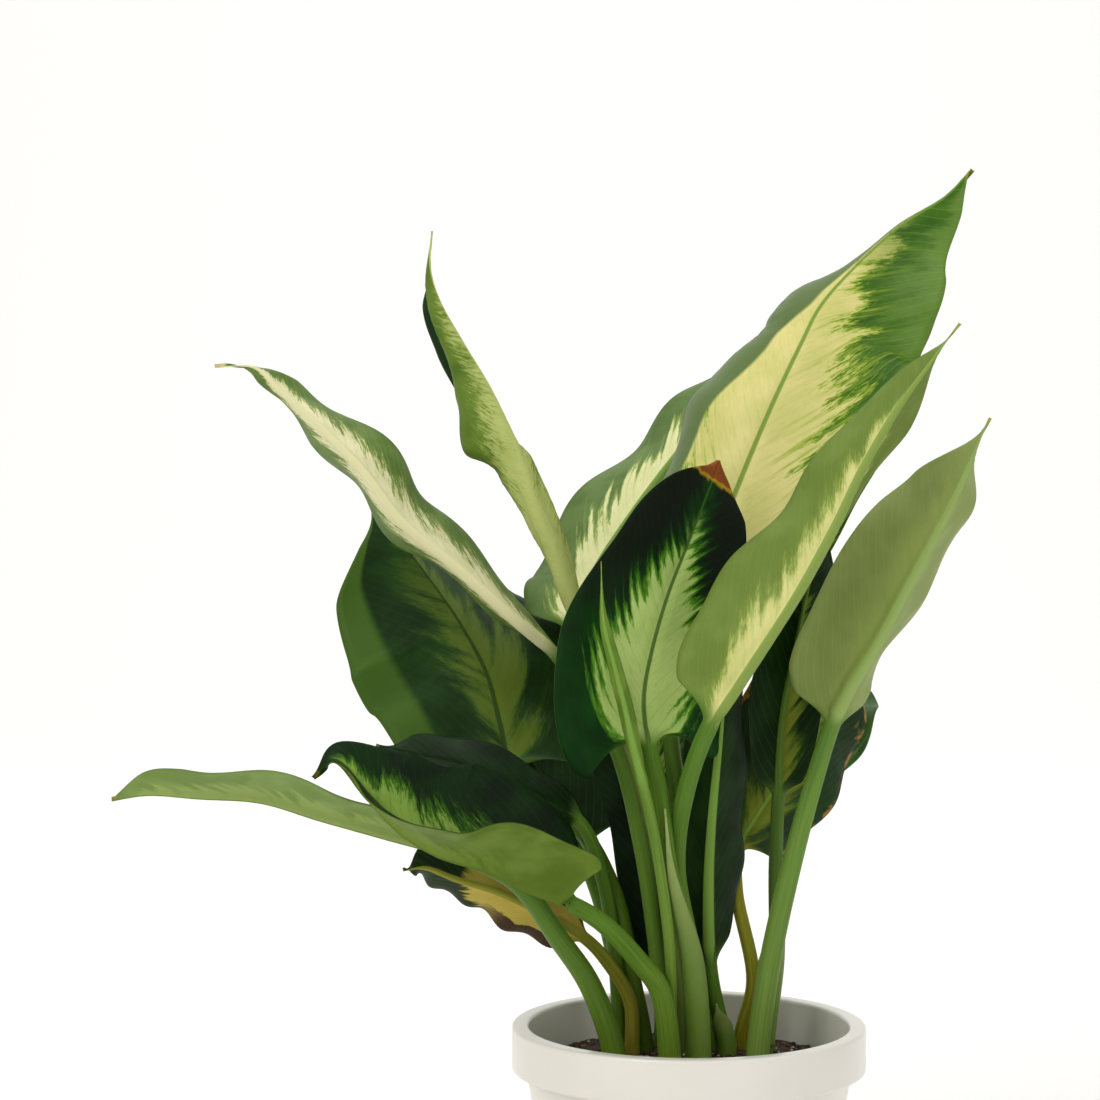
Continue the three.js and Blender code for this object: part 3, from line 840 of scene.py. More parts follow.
@dataclass
class Leaf:
    """One leaf: stalk, midrib and blade as a single closed skin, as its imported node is.

    root is where the stalk enters the soil and stalk its radius there and at the blade.
    petiole and midrib are points that the middle of the leaf passes through. half_width is
    the widest half, taper the power of the pointed end, lobe how far the base is swept back
    and point the share by which the tip is drawn out. wave and waves are the height and
    number of the margin's waves, and ruffle the height of smaller ones between them. turn
    gives the degrees by which the blade is turned about its midrib, at even stations; plus
    brings its right half to the back. The right half is bent as the left where it isn't given.
    """

    name: str
    faces: Face
    slot: Slot
    root: tuple[float, float]
    stalk: tuple[float, float]
    petiole: tuple[Point, ...]
    midrib: tuple[Point, ...]
    half_width: float
    taper: float
    lobe: float
    left: Half
    finish: LeafFinish
    right: Half | None = None
    point: float = 0.8
    wave: float = 1.5
    waves: float = 3.0
    ruffle: float = 0.0
    turn: Stations = (0.0, 0.0)

    def spine(self) -> Array:
        """Lists the points from below the soil, up the stalk and along the midrib."""
        footing = [(*self.root, SOIL_CROWN + above) for above in (-ROOT_DEPTH, -STRAIGHT, NECK)]
        return np.array([*footing, *self.petiole, *self.midrib], float)

    def blade_start(self) -> float:
        """Gives the share of the spine at which the blade begins."""
        points = len(self.spine())
        return (points - len(self.midrib)) / (points - 1)

    @staticmethod
    def walk(points: Array, u: Array) -> Array:
        """Walks a smooth curve that passes through points.

        The stretch between two points is a cubic that starts and ends with the slopes that
        the points beside them ask for, weighted by the square roots of their distances. The
        ends are carried on straight by one point each.

        Args:
            points: the points that the curve passes through.
            u: shares of the curve, with the same share for each stretch.

        Returns:
            One place for each share.
        """
        count = len(points) - 1
        place = np.clip(u, 0.0, 1.0) * count
        index = np.minimum(np.floor(place).astype(int), count - 1)
        w = (place - index)[:, None]
        padded = np.vstack([2 * points[0] - points[1], points, 2 * points[-1] - points[-2]])
        p0, p1, p2, p3 = (padded[index + i] for i in range(4))
        pairs = ((p0, p1), (p1, p2), (p2, p3))
        d0, d1, d2 = (np.sqrt(np.linalg.norm(b - a, axis=1))[:, None] for a, b in pairs)
        slope1 = ((p1 - p0) / d0 - (p2 - p0) / (d0 + d1) + (p2 - p1) / d1) * d1
        slope2 = ((p2 - p1) / d1 - (p3 - p1) / (d1 + d2) + (p3 - p2) / d2) * d1
        square = (-3 * p1 + 3 * p2 - 2 * slope1 - slope2) * w**2
        return p1 + slope1 * w + square + (2 * p1 - 2 * p2 + slope1 + slope2) * w**3

    def axes(self, u: Array) -> tuple[Array, ...]:
        """Gives places on the spine and the axes there: along it, to the right and to the front.

        The side is the cross product of the tangent and the direction to the viewer.

        Args:
            u: shares of the spine.

        Returns:
            Centres, tangents, sides and fronts, one row for each share.
        """
        points = self.spine()
        tangent = self.walk(points, u + CURVE_STEP) - self.walk(points, u - CURVE_STEP)
        tangent /= np.linalg.norm(tangent, axis=1)[:, None]
        side = np.cross(tangent, VIEWER)
        side /= np.linalg.norm(side, axis=1)[:, None]
        return self.walk(points, u), tangent, side, np.cross(side, tangent)

    def rows(self) -> Rows:
        """Works out where the cross-sections stand, crowded towards the base of the blade.

        The side and front axes are turned about the tangent by the turn at each place.

        Returns:
            The rows, from the stalk's foot to the tip.
        """
        start = self.blade_start()
        stem = start * np.arange(PETIOLE_ROWS + 1) / PETIOLE_ROWS
        t = (np.arange(1, BLADE_ROWS + 1) / BLADE_ROWS) ** ROW_CROWDING
        u = np.concatenate([stem, start + (1.0 - start) * np.minimum(t, LAST_PLACE)])
        t = np.concatenate([np.zeros(len(stem)), np.minimum(t, LAST_ROW)])
        centre, tangent, side, front = self.axes(u)
        turn = np.radians(stations(self.turn, t))[:, None]
        cosine, sine = np.cos(turn), np.sin(turn)
        front, side = front * cosine + side * sine, side * cosine - front * sine
        growth = np.minimum(u / start, 1.0)
        radius = mixed(*self.stalk, growth) * (1.0 - RIB_TAPER * t)
        radius = radius * (1.0 - TIP_TAPER * smooth(t, TIP_START, 1.0))
        steps = np.linalg.norm(np.diff(centre, axis=0), axis=1)
        length = np.concatenate([[0.0], np.cumsum(steps)])
        along = np.where(t > 0.0, t, growth - 1.0)
        opened = smooth(t, 0.0, JOIN_SHARE)
        return Rows(centre, tangent, side, front, t, along, length, radius, opened)

    def outline(self, t: Array) -> Array:
        """Gives the half-width as a share of the widest.

        It is t to the power of the round base, times (1 - t) to the power of the pointed end,
        over its peak, and drawn in towards the thread-like tip.

        Args:
            t: shares along the blade.

        Returns:
            The half-width's share for each.
        """
        widest = ROUND_BASE / (ROUND_BASE + self.taper)
        peak = widest**ROUND_BASE * (1.0 - widest) ** self.taper
        thread = 1.0 - self.point * smooth(t, TIP_START, 1.0)
        return thread * t**ROUND_BASE * (1.0 - t) ** self.taper / peak

    @staticmethod
    def walked(slope: Array, s: Array) -> Array:
        """Sums a slope over the share across, from the midrib out to both margins.

        Each step adds the mean of its two slopes times its length.

        Args:
            slope: one value for each row and column.
            s: the share across, from 1 down to 0 at the midrib and up to 1.

        Returns:
            The sums, 0 at the midrib.
        """
        steps = (slope[:, 1:] + slope[:, :-1]) / 2.0 * np.abs(np.diff(s, axis=1))
        right = np.cumsum(steps[:, HALF_COLUMNS:], axis=1)
        left = np.cumsum(steps[:, :HALF_COLUMNS][:, ::-1], axis=1)[:, ::-1]
        return np.concatenate([left, np.zeros((len(slope), 1)), right], axis=1)

    def bend(self, t: Array, s: Array, hand: Array) -> Array:
        """Gives the angle across the blade: the fold at the midrib plus the curl times s.

        Args:
            t: shares along the blade, one row each.
            s: shares across, one column each.
            hand: minus 1 on the left half, 0 on the midrib and 1 on the right half.

        Returns:
            Angles out of the picture plane, in radians.
        """
        left, right = self.left, self.right or self.left
        pairs = ((left.fold, right.fold), (left.curl, right.curl))
        fold, curl = (
            np.radians(np.where(hand < 0, stations(a, t), stations(b, t))) for a, b in pairs
        )
        return fold + curl * s

    def waving(
        self, t: Array, s: Array, hand: Array, foot: Array, opened: Array
    ) -> Array:
        """Gives how far the blade is lifted off its even bend.

        The margin's waves and ruffles are sines along the blade that grow with the square of
        the share across. The swell between the lateral veins is the cosine of the place along
        their feet, without its sign, and fades at the midrib and at the margin.

        Args:
            t, s, hand: as for bend.
            foot: the place on the midrib where the vein through a point starts.
            opened: how far the stalk has opened to a blade.

        Returns:
            The lift towards the front for each row and column.
        """
        swell = VEIN_SWELL * np.abs(np.cos(math.pi * foot / VEIN_SPACING)) ** SWELL_FLATNESS
        fade = np.sin(math.pi * s) ** SWELL_FADE
        swell = swell * fade * opened * min(1.0, self.half_width / SWELL_WIDTH)
        turns = 2.0 * math.pi
        ripple = np.sin(turns * self.waves * t + hand)
        ruffles = self.waves * RUFFLE_RATE * t + RUFFLE_SHIFT * self.finish.seed
        small = self.ruffle * np.sin(turns * ruffles + 2.0 * hand)
        wave = (self.wave * ripple + small) * s**2 * smooth(t, 0.0, WAVE_START)
        return wave + swell * self.faces.value

    def halves(
        self, radius: Array, distance: Array, s: Array, even: Array, opened: Array
    ) -> tuple[Array, ...]:
        """Gives how far the near and the far face stand off the middle of the blade.

        The stalk is round. The midrib stands out as a half round below and is a shallow
        groove above.

        Args:
            radius, opened: as in Rows.
            distance: the way from the midrib.
            s, even: shares across, crowded towards the midrib and evenly spaced.

        Returns:
            The distances of the near and of the far face.
        """
        stalk = np.maximum(radius * np.cos(math.pi / 2.0 * even), THINNEST_HALF)
        blade = mixed(MIDDLE_HALF, MARGIN_HALF, s) * np.minimum(1.0, radius / THIN_RIB)
        on_rib = np.clip(1.0 - (distance / radius) ** 2, 0.0, 1.0) ** 0.5
        upper = blade - GROOVE_SHARE * radius * on_rib
        under = blade + (radius - blade) * on_rib
        ordered = (upper, under) if self.faces is Face.UPPER else (under, upper)
        return tuple(mixed(stalk, half, opened) for half in ordered)

    def skin(self) -> tuple[Array, Array, Array]:
        """Works out the leaf's closed skin.

        A cross-section is a round stalk that opens into a blade. Half the blade is an arc: it
        leaves the midrib at the fold angle and turns by the curl as the share across grows.
        The base is swept back by the square of the distance across.

        Returns:
            Points, and for each point the numbers of leaf_place and of vein_place.
        """
        rows = self.rows()
        grid = np.arange(-HALF_COLUMNS, HALF_COLUMNS + 1)[None, :]
        hand = np.sign(grid).astype(float)
        even = np.abs(grid) / HALF_COLUMNS
        s = even**COLUMN_CROWDING
        t, opened, radius = (values[:, None] for values in (rows.t, rows.opened, rows.radius))
        width = np.maximum(self.half_width * self.outline(t), radius)
        bend = self.bend(t, s, hand)
        distance = width * s
        blade_length = rows.length[:, None] - rows.length[PETIOLE_ROWS]
        foot = blade_length - VEIN_LEAN * distance - VEIN_CURVE * distance**2 / self.half_width
        wave = self.waving(t, s, hand, foot, opened)

        lean_x = -np.sin(bend) * hand * opened
        lean_y = np.cos(bend) * opened + (1.0 - opened)
        size = np.hypot(lean_x, lean_y)
        normal_x = np.where(hand == 0, 0.0, lean_x / size)
        normal_y = np.where(hand == 0, 1.0, lean_y / size)
        stalk_x = radius * np.sin(math.pi / 2.0 * even) * hand
        blade_x, blade_y = (width * self.walked(way, s) for way in (np.cos(bend), np.sin(bend)))
        x = mixed(stalk_x, blade_x * hand, opened) + wave * normal_x
        y = mixed(0.0, blade_y, opened) + wave * normal_y

        side, front, tangent = (axis[:, None] for axis in (rows.side, rows.front, rows.tangent))
        lobes = -self.lobe * opened * (1.0 - smooth(t, 0.0, LOBE_SHARE))
        lobes = lobes * (x / self.half_width) ** 2
        base = rows.centre[:, None] + side * x[..., None] + front * y[..., None]
        base = base + tangent * lobes[..., None]
        normal = side * normal_x[..., None] + front * normal_y[..., None]
        near_half, far_half = self.halves(radius, distance, s, even, opened)
        near = base + normal * near_half[..., None]
        far = base - normal * far_half[..., None]

        across, along, opening, feet, sideways = np.broadcast_arrays(
            hand * s, rows.along[:, None], opened, foot * CM_PER_MM, hand * distance * CM_PER_MM
        )
        upper = float(self.faces is Face.UPPER)
        near_place, far_place = (
            np.stack([across, along, np.full(across.shape, face)], axis=-1)
            for face in (upper, 1.0 - upper)
        )
        veins = np.stack([feet, sideways, opening], axis=-1)
        pairs = ((near, far), (near_place, far_place), (veins, veins))
        return tuple(np.concatenate([a, b[:, ::-1]], axis=1) for a, b in pairs)

    def build(self) -> None:
        """Makes the leaf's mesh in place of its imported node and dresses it."""
        points, leaf_place, vein_place = self.skin()
        finish = LeafPainter(self.finish, Graph.named(f"{self.name}_skin")).material()
        faces = skin_faces(*points.shape[:2])
        node = f"leaf_{self.name}"
        piece = make_piece(f"{self.name}_leaf", points, faces, self.slot, finish, node)
        add_vectors(piece, "leaf_place", leaf_place)
        add_vectors(piece, "vein_place", vein_place)


@dataclass
class Sheath:
    """The papery sheath that wraps the lower part of a stalk and ends in a free point.

    It is a strip of a tube round the stalk of leaf, from start to end as shares of the stalk,
    with its middle facing so many degrees to the right of the front. The half angle that it
    covers narrows from wrap to almost nothing, and its tip leans out by flare.
    """

    leaf: Leaf
    start: float
    end: float
    facing: float
    wrap: float = 150.0
    flare: float = 2.0
    clear: float = 0.5
    thickness: float = 0.5
    low: Colour = (98, 126, 32)
    high: Colour = (150, 166, 88)
    rows: int = 40
    columns: int = 12

    def material(self, name: str) -> Material:
        """Builds the sheath's finish, which pales towards its free end.

        Args:
            name: the material's name.

        Returns:
            The material.
        """
        g = Graph.named(name)
        up = g.attribute("leaf_place")[0]
        colour = g.mix(g.eased(up, 0.35, 0.95), self.low, self.high)
        streak = g.times(g.clouds(300.0, 0.4, 0.7), 0.3)
        return g.finish(g.mix(streak, colour, SHEATH_STREAK), 0.5)

    def build(self) -> None:
        """Makes the sheath as a closed shell round its stalk."""
        share = np.linspace(0.0, 1.0, self.rows)
        up_stalk = mixed(self.start, self.end, share)
        centre, _, side, front = self.leaf.axes(up_stalk * self.leaf.blade_start())
        radius = mixed(*self.leaf.stalk, up_stalk)
        half = np.radians(self.wrap) * (1.0 - smooth(share, SHEATH_NARROWS, 1.0)) + SHEATH_TIP
        across = np.linspace(-1.0, 1.0, self.columns)
        angle = (math.radians(self.facing) + half[:, None] * across[None, :])[..., None]
        away = (radius + self.clear + self.flare * smooth(share, SHEATH_LEANS, 1.0))[:, None, None]
        reach = np.sin(angle) * side[:, None] + np.cos(angle) * front[:, None]
        outer = centre[:, None] + reach * (away + self.thickness)
        inner = centre[:, None] + reach * away
        points = np.concatenate([outer, inner[:, ::-1]], axis=1)
        name = f"{self.leaf.name}_sheath"
        faces = skin_faces(*points.shape[:2])
        piece = make_piece(name, points, faces, self.leaf.slot, self.material(f"{name}_skin"))
        add_vectors(piece, "leaf_place", np.broadcast_to(share[:, None, None], points.shape))


# ---- pot and soil ----
@dataclass(frozen=True)
class PotFinish:
    """Plain glazed ceramic."""

    glaze: Colour = (226, 222, 212)
    shade: Colour = (222, 217, 206)
    rough: float = 0.3

    def material(self) -> Material:
        """Builds the glaze: an even pale colour with the slightest cloudiness."""
        g = Graph.named("pot_glaze")
        colour = g.mix(g.clouds(25.0, *SOFT_NOISE, detail=3.0), self.glaze, self.shade)
        g.bump(g.noise(60.0), strength=0.05, depth=0.0003)
        return g.finish(colour, self.rough, Specular_IOR_Level=0.5, Coat_Weight=0.25)


@dataclass
class Pot:
    """The round pot: a wall that widens upwards, a band round its rim and a flat floor."""

    finish: PotFinish = PotFinish()
    sides: int = 144
    round_steps: int = 5

    @staticmethod
    def radius(z: float) -> float:
        """Gives the wall's outer radius at a height, below the rim."""
        return POT_BASE_RADIUS + (POT_TOP_RADIUS - RIM_STEP - POT_BASE_RADIUS) * z / POT_HEIGHT

    def rounded(self, profile: Array, size: float) -> Array:
        """Rounds a profile's corners: each becomes a quadratic curve between points near it.

        Args:
            profile: rows of radius and height.
            size: how far from the corner the rounding starts.

        Returns:
            The profile with its inner points replaced by short curves.
        """
        corner = profile[1:-1]
        first, last = (
            corner + way * np.minimum(size / np.linalg.norm(way, axis=1)[:, None], MOST_OF_EDGE)
            for way in (profile[:-2] - corner, profile[2:] - corner)
        )
        w = np.linspace(0.0, 1.0, self.round_steps)[None, :, None]
        first, corner, last = (ends[:, None] for ends in (first, corner, last))
        curve = first * (1 - w) ** 2 + 2 * corner * w * (1 - w) + last * w**2
        return np.vstack([profile[:1], curve.reshape(-1, 2), profile[-1:]])

    def build(self) -> None:
        """Makes the pot."""
        foot = POT_HEIGHT - RIM_HEIGHT
        inner = POT_TOP_RADIUS - RIM_STEP - POT_WALL
        profile = np.array([
            (0.0, 0.0), (POT_BASE_RADIUS, 0.0), (self.radius(foot), foot),
            (POT_TOP_RADIUS, foot + RIM_SLOPE), (POT_TOP_RADIUS, POT_HEIGHT), (inner, POT_HEIGHT),
            (self.radius(POT_FLOOR) - POT_WALL, POT_FLOOR), (0.0, POT_FLOOR),
        ])
        points, faces = lathe(self.rounded(profile, EDGE_ROUND), self.sides)
        make_piece("pot_body", points, faces, Slot.POT, self.finish.material(), "pot")


@dataclass(frozen=True)
class SoilFinish:
    """Dark moist potting soil."""

    dark: Colour = (38, 28, 20)
    light: Colour = (84, 62, 44)

    def material(self) -> Material:
        """Builds the soil: brown, mottled at the size of its crumbs."""
        g = Graph.named("soil_peat")
        crumbs = g.clouds(420.0, *SOFT_CLOUDS, detail=4.0, rough=0.7)
        patches = g.times(g.clouds(70.0, *SOFT_CLOUDS), 0.35)
        colour = g.mix(patches, g.mix(crumbs, self.dark, self.light), self.dark)
        g.bump(g.noise(700.0, 3.0, 0.7), strength=0.6, depth=0.0008)
        return g.finish(colour, 0.92)

    def bits(self, name: str, colour: Colour) -> Material:
        """Builds the finish of loose bits in one colour."""
        g = Graph.named(name)
        return g.finish(g.mix(g.clouds(300.0, *SOFT_CLOUDS), colour, self.light), 0.9)


@dataclass(frozen=True)
class Bits:
    """Loose bits on the soil: how many, their smallest and largest radius, their height as a
    share of it, the seed of their draws and their colour."""

    name: str
    count: int
    sizes: tuple[float, float]
    flat: float
    seed: int
    colour: Colour


BITS = (
    Bits("soil_crumbs", 900, (0.5, 1.7), 0.7, 11, (38, 28, 20)),
    Bits("soil_bark", 130, (0.8, 2.2), 0.35, 12, (112, 78, 50)),
    Bits("soil_grit", 110, (0.4, 1.0), 0.8, 13, (222, 218, 206)),
)


@dataclass
class Soil:
    """The soil: a rough top that rises from the pot's wall to a low crown, and loose bits."""

    finish: SoilFinish = SoilFinish()
    sides: int = 200
    rings: int = 90
    relief: float = 1.3
    seed: int = 7

    @staticmethod
    def wall(z: float) -> float:
        """Gives the soil's radius at a height, just inside the pot's wall."""
        return Pot.radius(z) - POT_WALL - GAP

    def level(self, radius: Array) -> Array:
        """Gives the height of the packed soil at a distance from the middle.

        Args:
            radius: distances from the pot's axis.

        Returns:
            Heights, read from straight lines between four marks.
        """
        edge = self.wall(SOIL_EDGE)
        marks = [0.0, SOIL_SHOULDER, edge - SOIL_RAMP, edge]
        heights = [SOIL_CROWN, SOIL_CROWN - GAP, (SOIL_EDGE + SOIL_CROWN) / 2, SOIL_EDGE]
        return np.interp(radius, marks, heights)

    def drop(self, x: Array, y: Array) -> Array:
        """Gives how far the rough top lies below the packed soil.

        It is the relief times 1 minus a sum of sines in seeded directions, held to 0 to 1.

        Args:
            x: places to the right.
            y: places away from the viewer.

        Returns:
            The drop at each place.
        """
        rng = np.random.default_rng(self.seed)
        total = np.zeros_like(x)
        for wavelength, height in RELIEF_WAVES:
            for _ in range(RELIEF_DIRECTIONS):
                angle, phase = rng.uniform(0.0, 2.0 * math.pi, 2)
                along = x * math.cos(angle) + y * math.sin(angle)
                total = total + height * np.sin(2.0 * math.pi * along / wavelength + phase)
        weight = RELIEF_DIRECTIONS * sum(height for _, height in RELIEF_WAVES)
        return self.relief * (1.0 - np.clip(0.5 + total / weight * RELIEF_CONTRAST, 0.0, 1.0))

    def body(self) -> None:
        """Makes the soil's body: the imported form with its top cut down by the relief."""
        foot = POT_FLOOR + GAP
        edge = self.wall(SOIL_EDGE)
        radius = np.linspace(edge, edge / self.rings, self.rings)
        top = np.stack([radius, self.level(radius)], axis=-1)
        profile = np.vstack([[(0.0, foot), (self.wall(foot), foot)], top, [(0.0, SOIL_CROWN)]])
        points, faces = lathe(profile, self.sides)
        raised = points[:, 2] > SOIL_EDGE - 0.01
        points[raised, 2] -= self.drop(points[:, 0], points[:, 1])[raised]
        make_piece("soil_top", points, faces, Slot.SOIL, self.finish.material(), "soil")

    def scatter(self, bits: Bits) -> None:
        """Makes loose bits that lie half sunk in the soil, as one piece.

        Each is a ball of few faces, stretched, flattened, turned and made lumpy by a draw of
        its own, and all are worked out at once.

        Args:
            bits: what the bits are like.
        """
        rng = np.random.default_rng(bits.seed)
        count = bits.count
        ball, faces = lathe(BALL_PROFILE, BALL_SIDES)
        angle = rng.uniform(0.0, 2.0 * math.pi, count)
        away = (self.wall(SOIL_EDGE) - BARE_EDGE) * np.sqrt(rng.uniform(0.0, 1.0, count))
        x, y = away * np.cos(angle), away * np.sin(angle)
        size = rng.uniform(*bits.sizes, count)[:, None, None]
        shape = ball[None] * size * rng.uniform(*BALL_LUMPS, (count, len(ball), 1))
        stretch = [rng.uniform(*BALL_STRETCH, count), np.ones(count), np.full(count, bits.flat)]
        shape = shape * np.stack(stretch, axis=-1)[:, None]
        turn = rng.uniform(0.0, 2.0 * math.pi, count)[:, None]
        wide, deep, high = np.moveaxis(shape, -1, 0)
        points = np.stack([
            wide * np.cos(turn) - deep * np.sin(turn) + x[:, None],
            wide * np.sin(turn) + deep * np.cos(turn) + y[:, None],
            high + (self.level(away) - self.drop(x, y))[:, None],
        ], axis=-1)
        every_face = [[v + i * len(ball) for v in face] for i in range(count) for face in faces]
        finish = self.finish.bits(f"{bits.name}_finish", bits.colour)
        make_piece(bits.name, points, every_face, Slot.SOIL, finish)

    def build(self) -> None:
        """Makes the soil and the bits on it."""
        self.body()
        for bits in BITS:
            self.scatter(bits)


# ---- the studio ----
@dataclass(frozen=True)
class Lamp:
    """A square soft light: its place, side and target in metres and its power in watts."""

    name: str
    place: Point
    size: float
    power: float
    target: Point = (0.0, 0.0, 0.28)

    def build(self) -> None:
        """Hangs the light, turned from its place to its target and level to the sides."""
        lamp = bpy.data.lights.new(self.name, "AREA")
        lamp.shape = "SQUARE"
        lamp.size = self.size
        lamp.energy = self.power
        lit = add_object(self.name, lamp)
        lit.location = self.place
        dx, dy, dz = (b - a for a, b in zip(self.place, self.target))
        pitch = math.atan2(dz, math.hypot(dx, dy))
        lit.rotation_euler = (math.pi / 2.0 + pitch, 0.0, math.atan2(-dx, dy))


@dataclass
class Studio:
    """A pale sweep of floor and backdrop, soft lights and the camera; lengths in metres.

    The floor runs level from front to bend, turns up by an arc of bend_radius and rises to
    wall_height. It reaches half_width to either side.
    """

    floor_colour: Colour = (250, 249, 246)
    world_strength: float = 0.62
    front: float = -4.0
    bend: float = 2.0
    bend_radius: float = 1.5
    bend_start: float = 0.1
    bend_steps: int = 16
    wall_height: float = 6.0
    half_width: float = 6.0
    columns: int = 5
    lamps: tuple[Lamp, ...] = (
        Lamp("key_light", (-1.1, -1.5, 1.5), 1.2, 17.0),
        Lamp("fill_light", (1.6, -1.2, 0.8), 1.6, 4.0),
        Lamp("top_light", (0.1, 0.3, 2.0), 1.6, 7.0),
        Lamp("backdrop_light", (0.0, 1.2, 2.6), 2.4, 30.0, target=(0.0, 3.4, 0.6)),
    )

    def floor(self) -> None:
        """Makes the floor: its profile carried along X."""
        angle = np.linspace(self.bend_start, math.pi / 2.0, self.bend_steps)
        arc_depth = self.bend + self.bend_radius * np.sin(angle)
        arc_height = self.bend_radius - self.bend_radius * np.cos(angle)
        depth = np.concatenate([[self.front, self.bend], arc_depth, [self.bend + self.bend_radius]])
        height = np.concatenate([[0.0, 0.0], arc_height, [self.wall_height]])
        across = np.linspace(-self.half_width, self.half_width, self.columns)
        x, row = np.meshgrid(across, np.arange(len(depth)))
        points = np.stack([x, depth[row], height[row]], axis=-1).reshape(-1, 3)
        wide = self.columns
        i = (np.arange(len(depth) - 1)[:, None] * wide + np.arange(wide - 1)[None, :]).ravel()
        faces = np.stack([i, i + 1, i + wide + 1, i + wide], axis=-1).tolist()
        mesh = smooth_mesh("floor", points, faces)
        mesh.materials.append(Graph.named("floor_paper").finish(self.floor_colour, 0.9))
        floor = add_object("floor", mesh)

    def camera(self) -> None:
        """Adds the camera, level to the sides, a few degrees above the plant's middle."""
        data = bpy.data.cameras.new("camera")
        data.sensor_width = SENSOR_WIDTH
        data.lens = SENSOR_WIDTH * CAMERA_DISTANCE / (MM_PER_PIXEL * PICTURE_PIXELS)
        data.clip_start, data.clip_end = CAMERA_CLIP
        back = np.array([0.0, -math.cos(CAMERA_ELEVATION), math.sin(CAMERA_ELEVATION)])
        camera = add_object("camera", data)
        camera.location = ((np.array(CAMERA_TARGET) + back * CAMERA_DISTANCE) * MM).tolist()
        camera.rotation_euler = (math.pi / 2.0 - CAMERA_ELEVATION, 0.0, 0.0)
        bpy.context.scene.camera = camera

    def build(self) -> None:
        """Sets up the camera, the floor, the lights and the pale surroundings."""
        self.camera()
        self.floor()
        for lamp in self.lamps:
            lamp.build()
        world = bpy.data.worlds.new("surroundings")
        bpy.context.scene.world = world
        world.use_nodes = True
        background = next(n for n in world.node_tree.nodes if n.type == "BACKGROUND")
        background.inputs["Color"].default_value = (1.0, 1.0, 1.0, 1.0)
        background.inputs["Strength"].default_value = self.world_strength
        bpy.context.scene.view_settings.view_transform = "Standard"


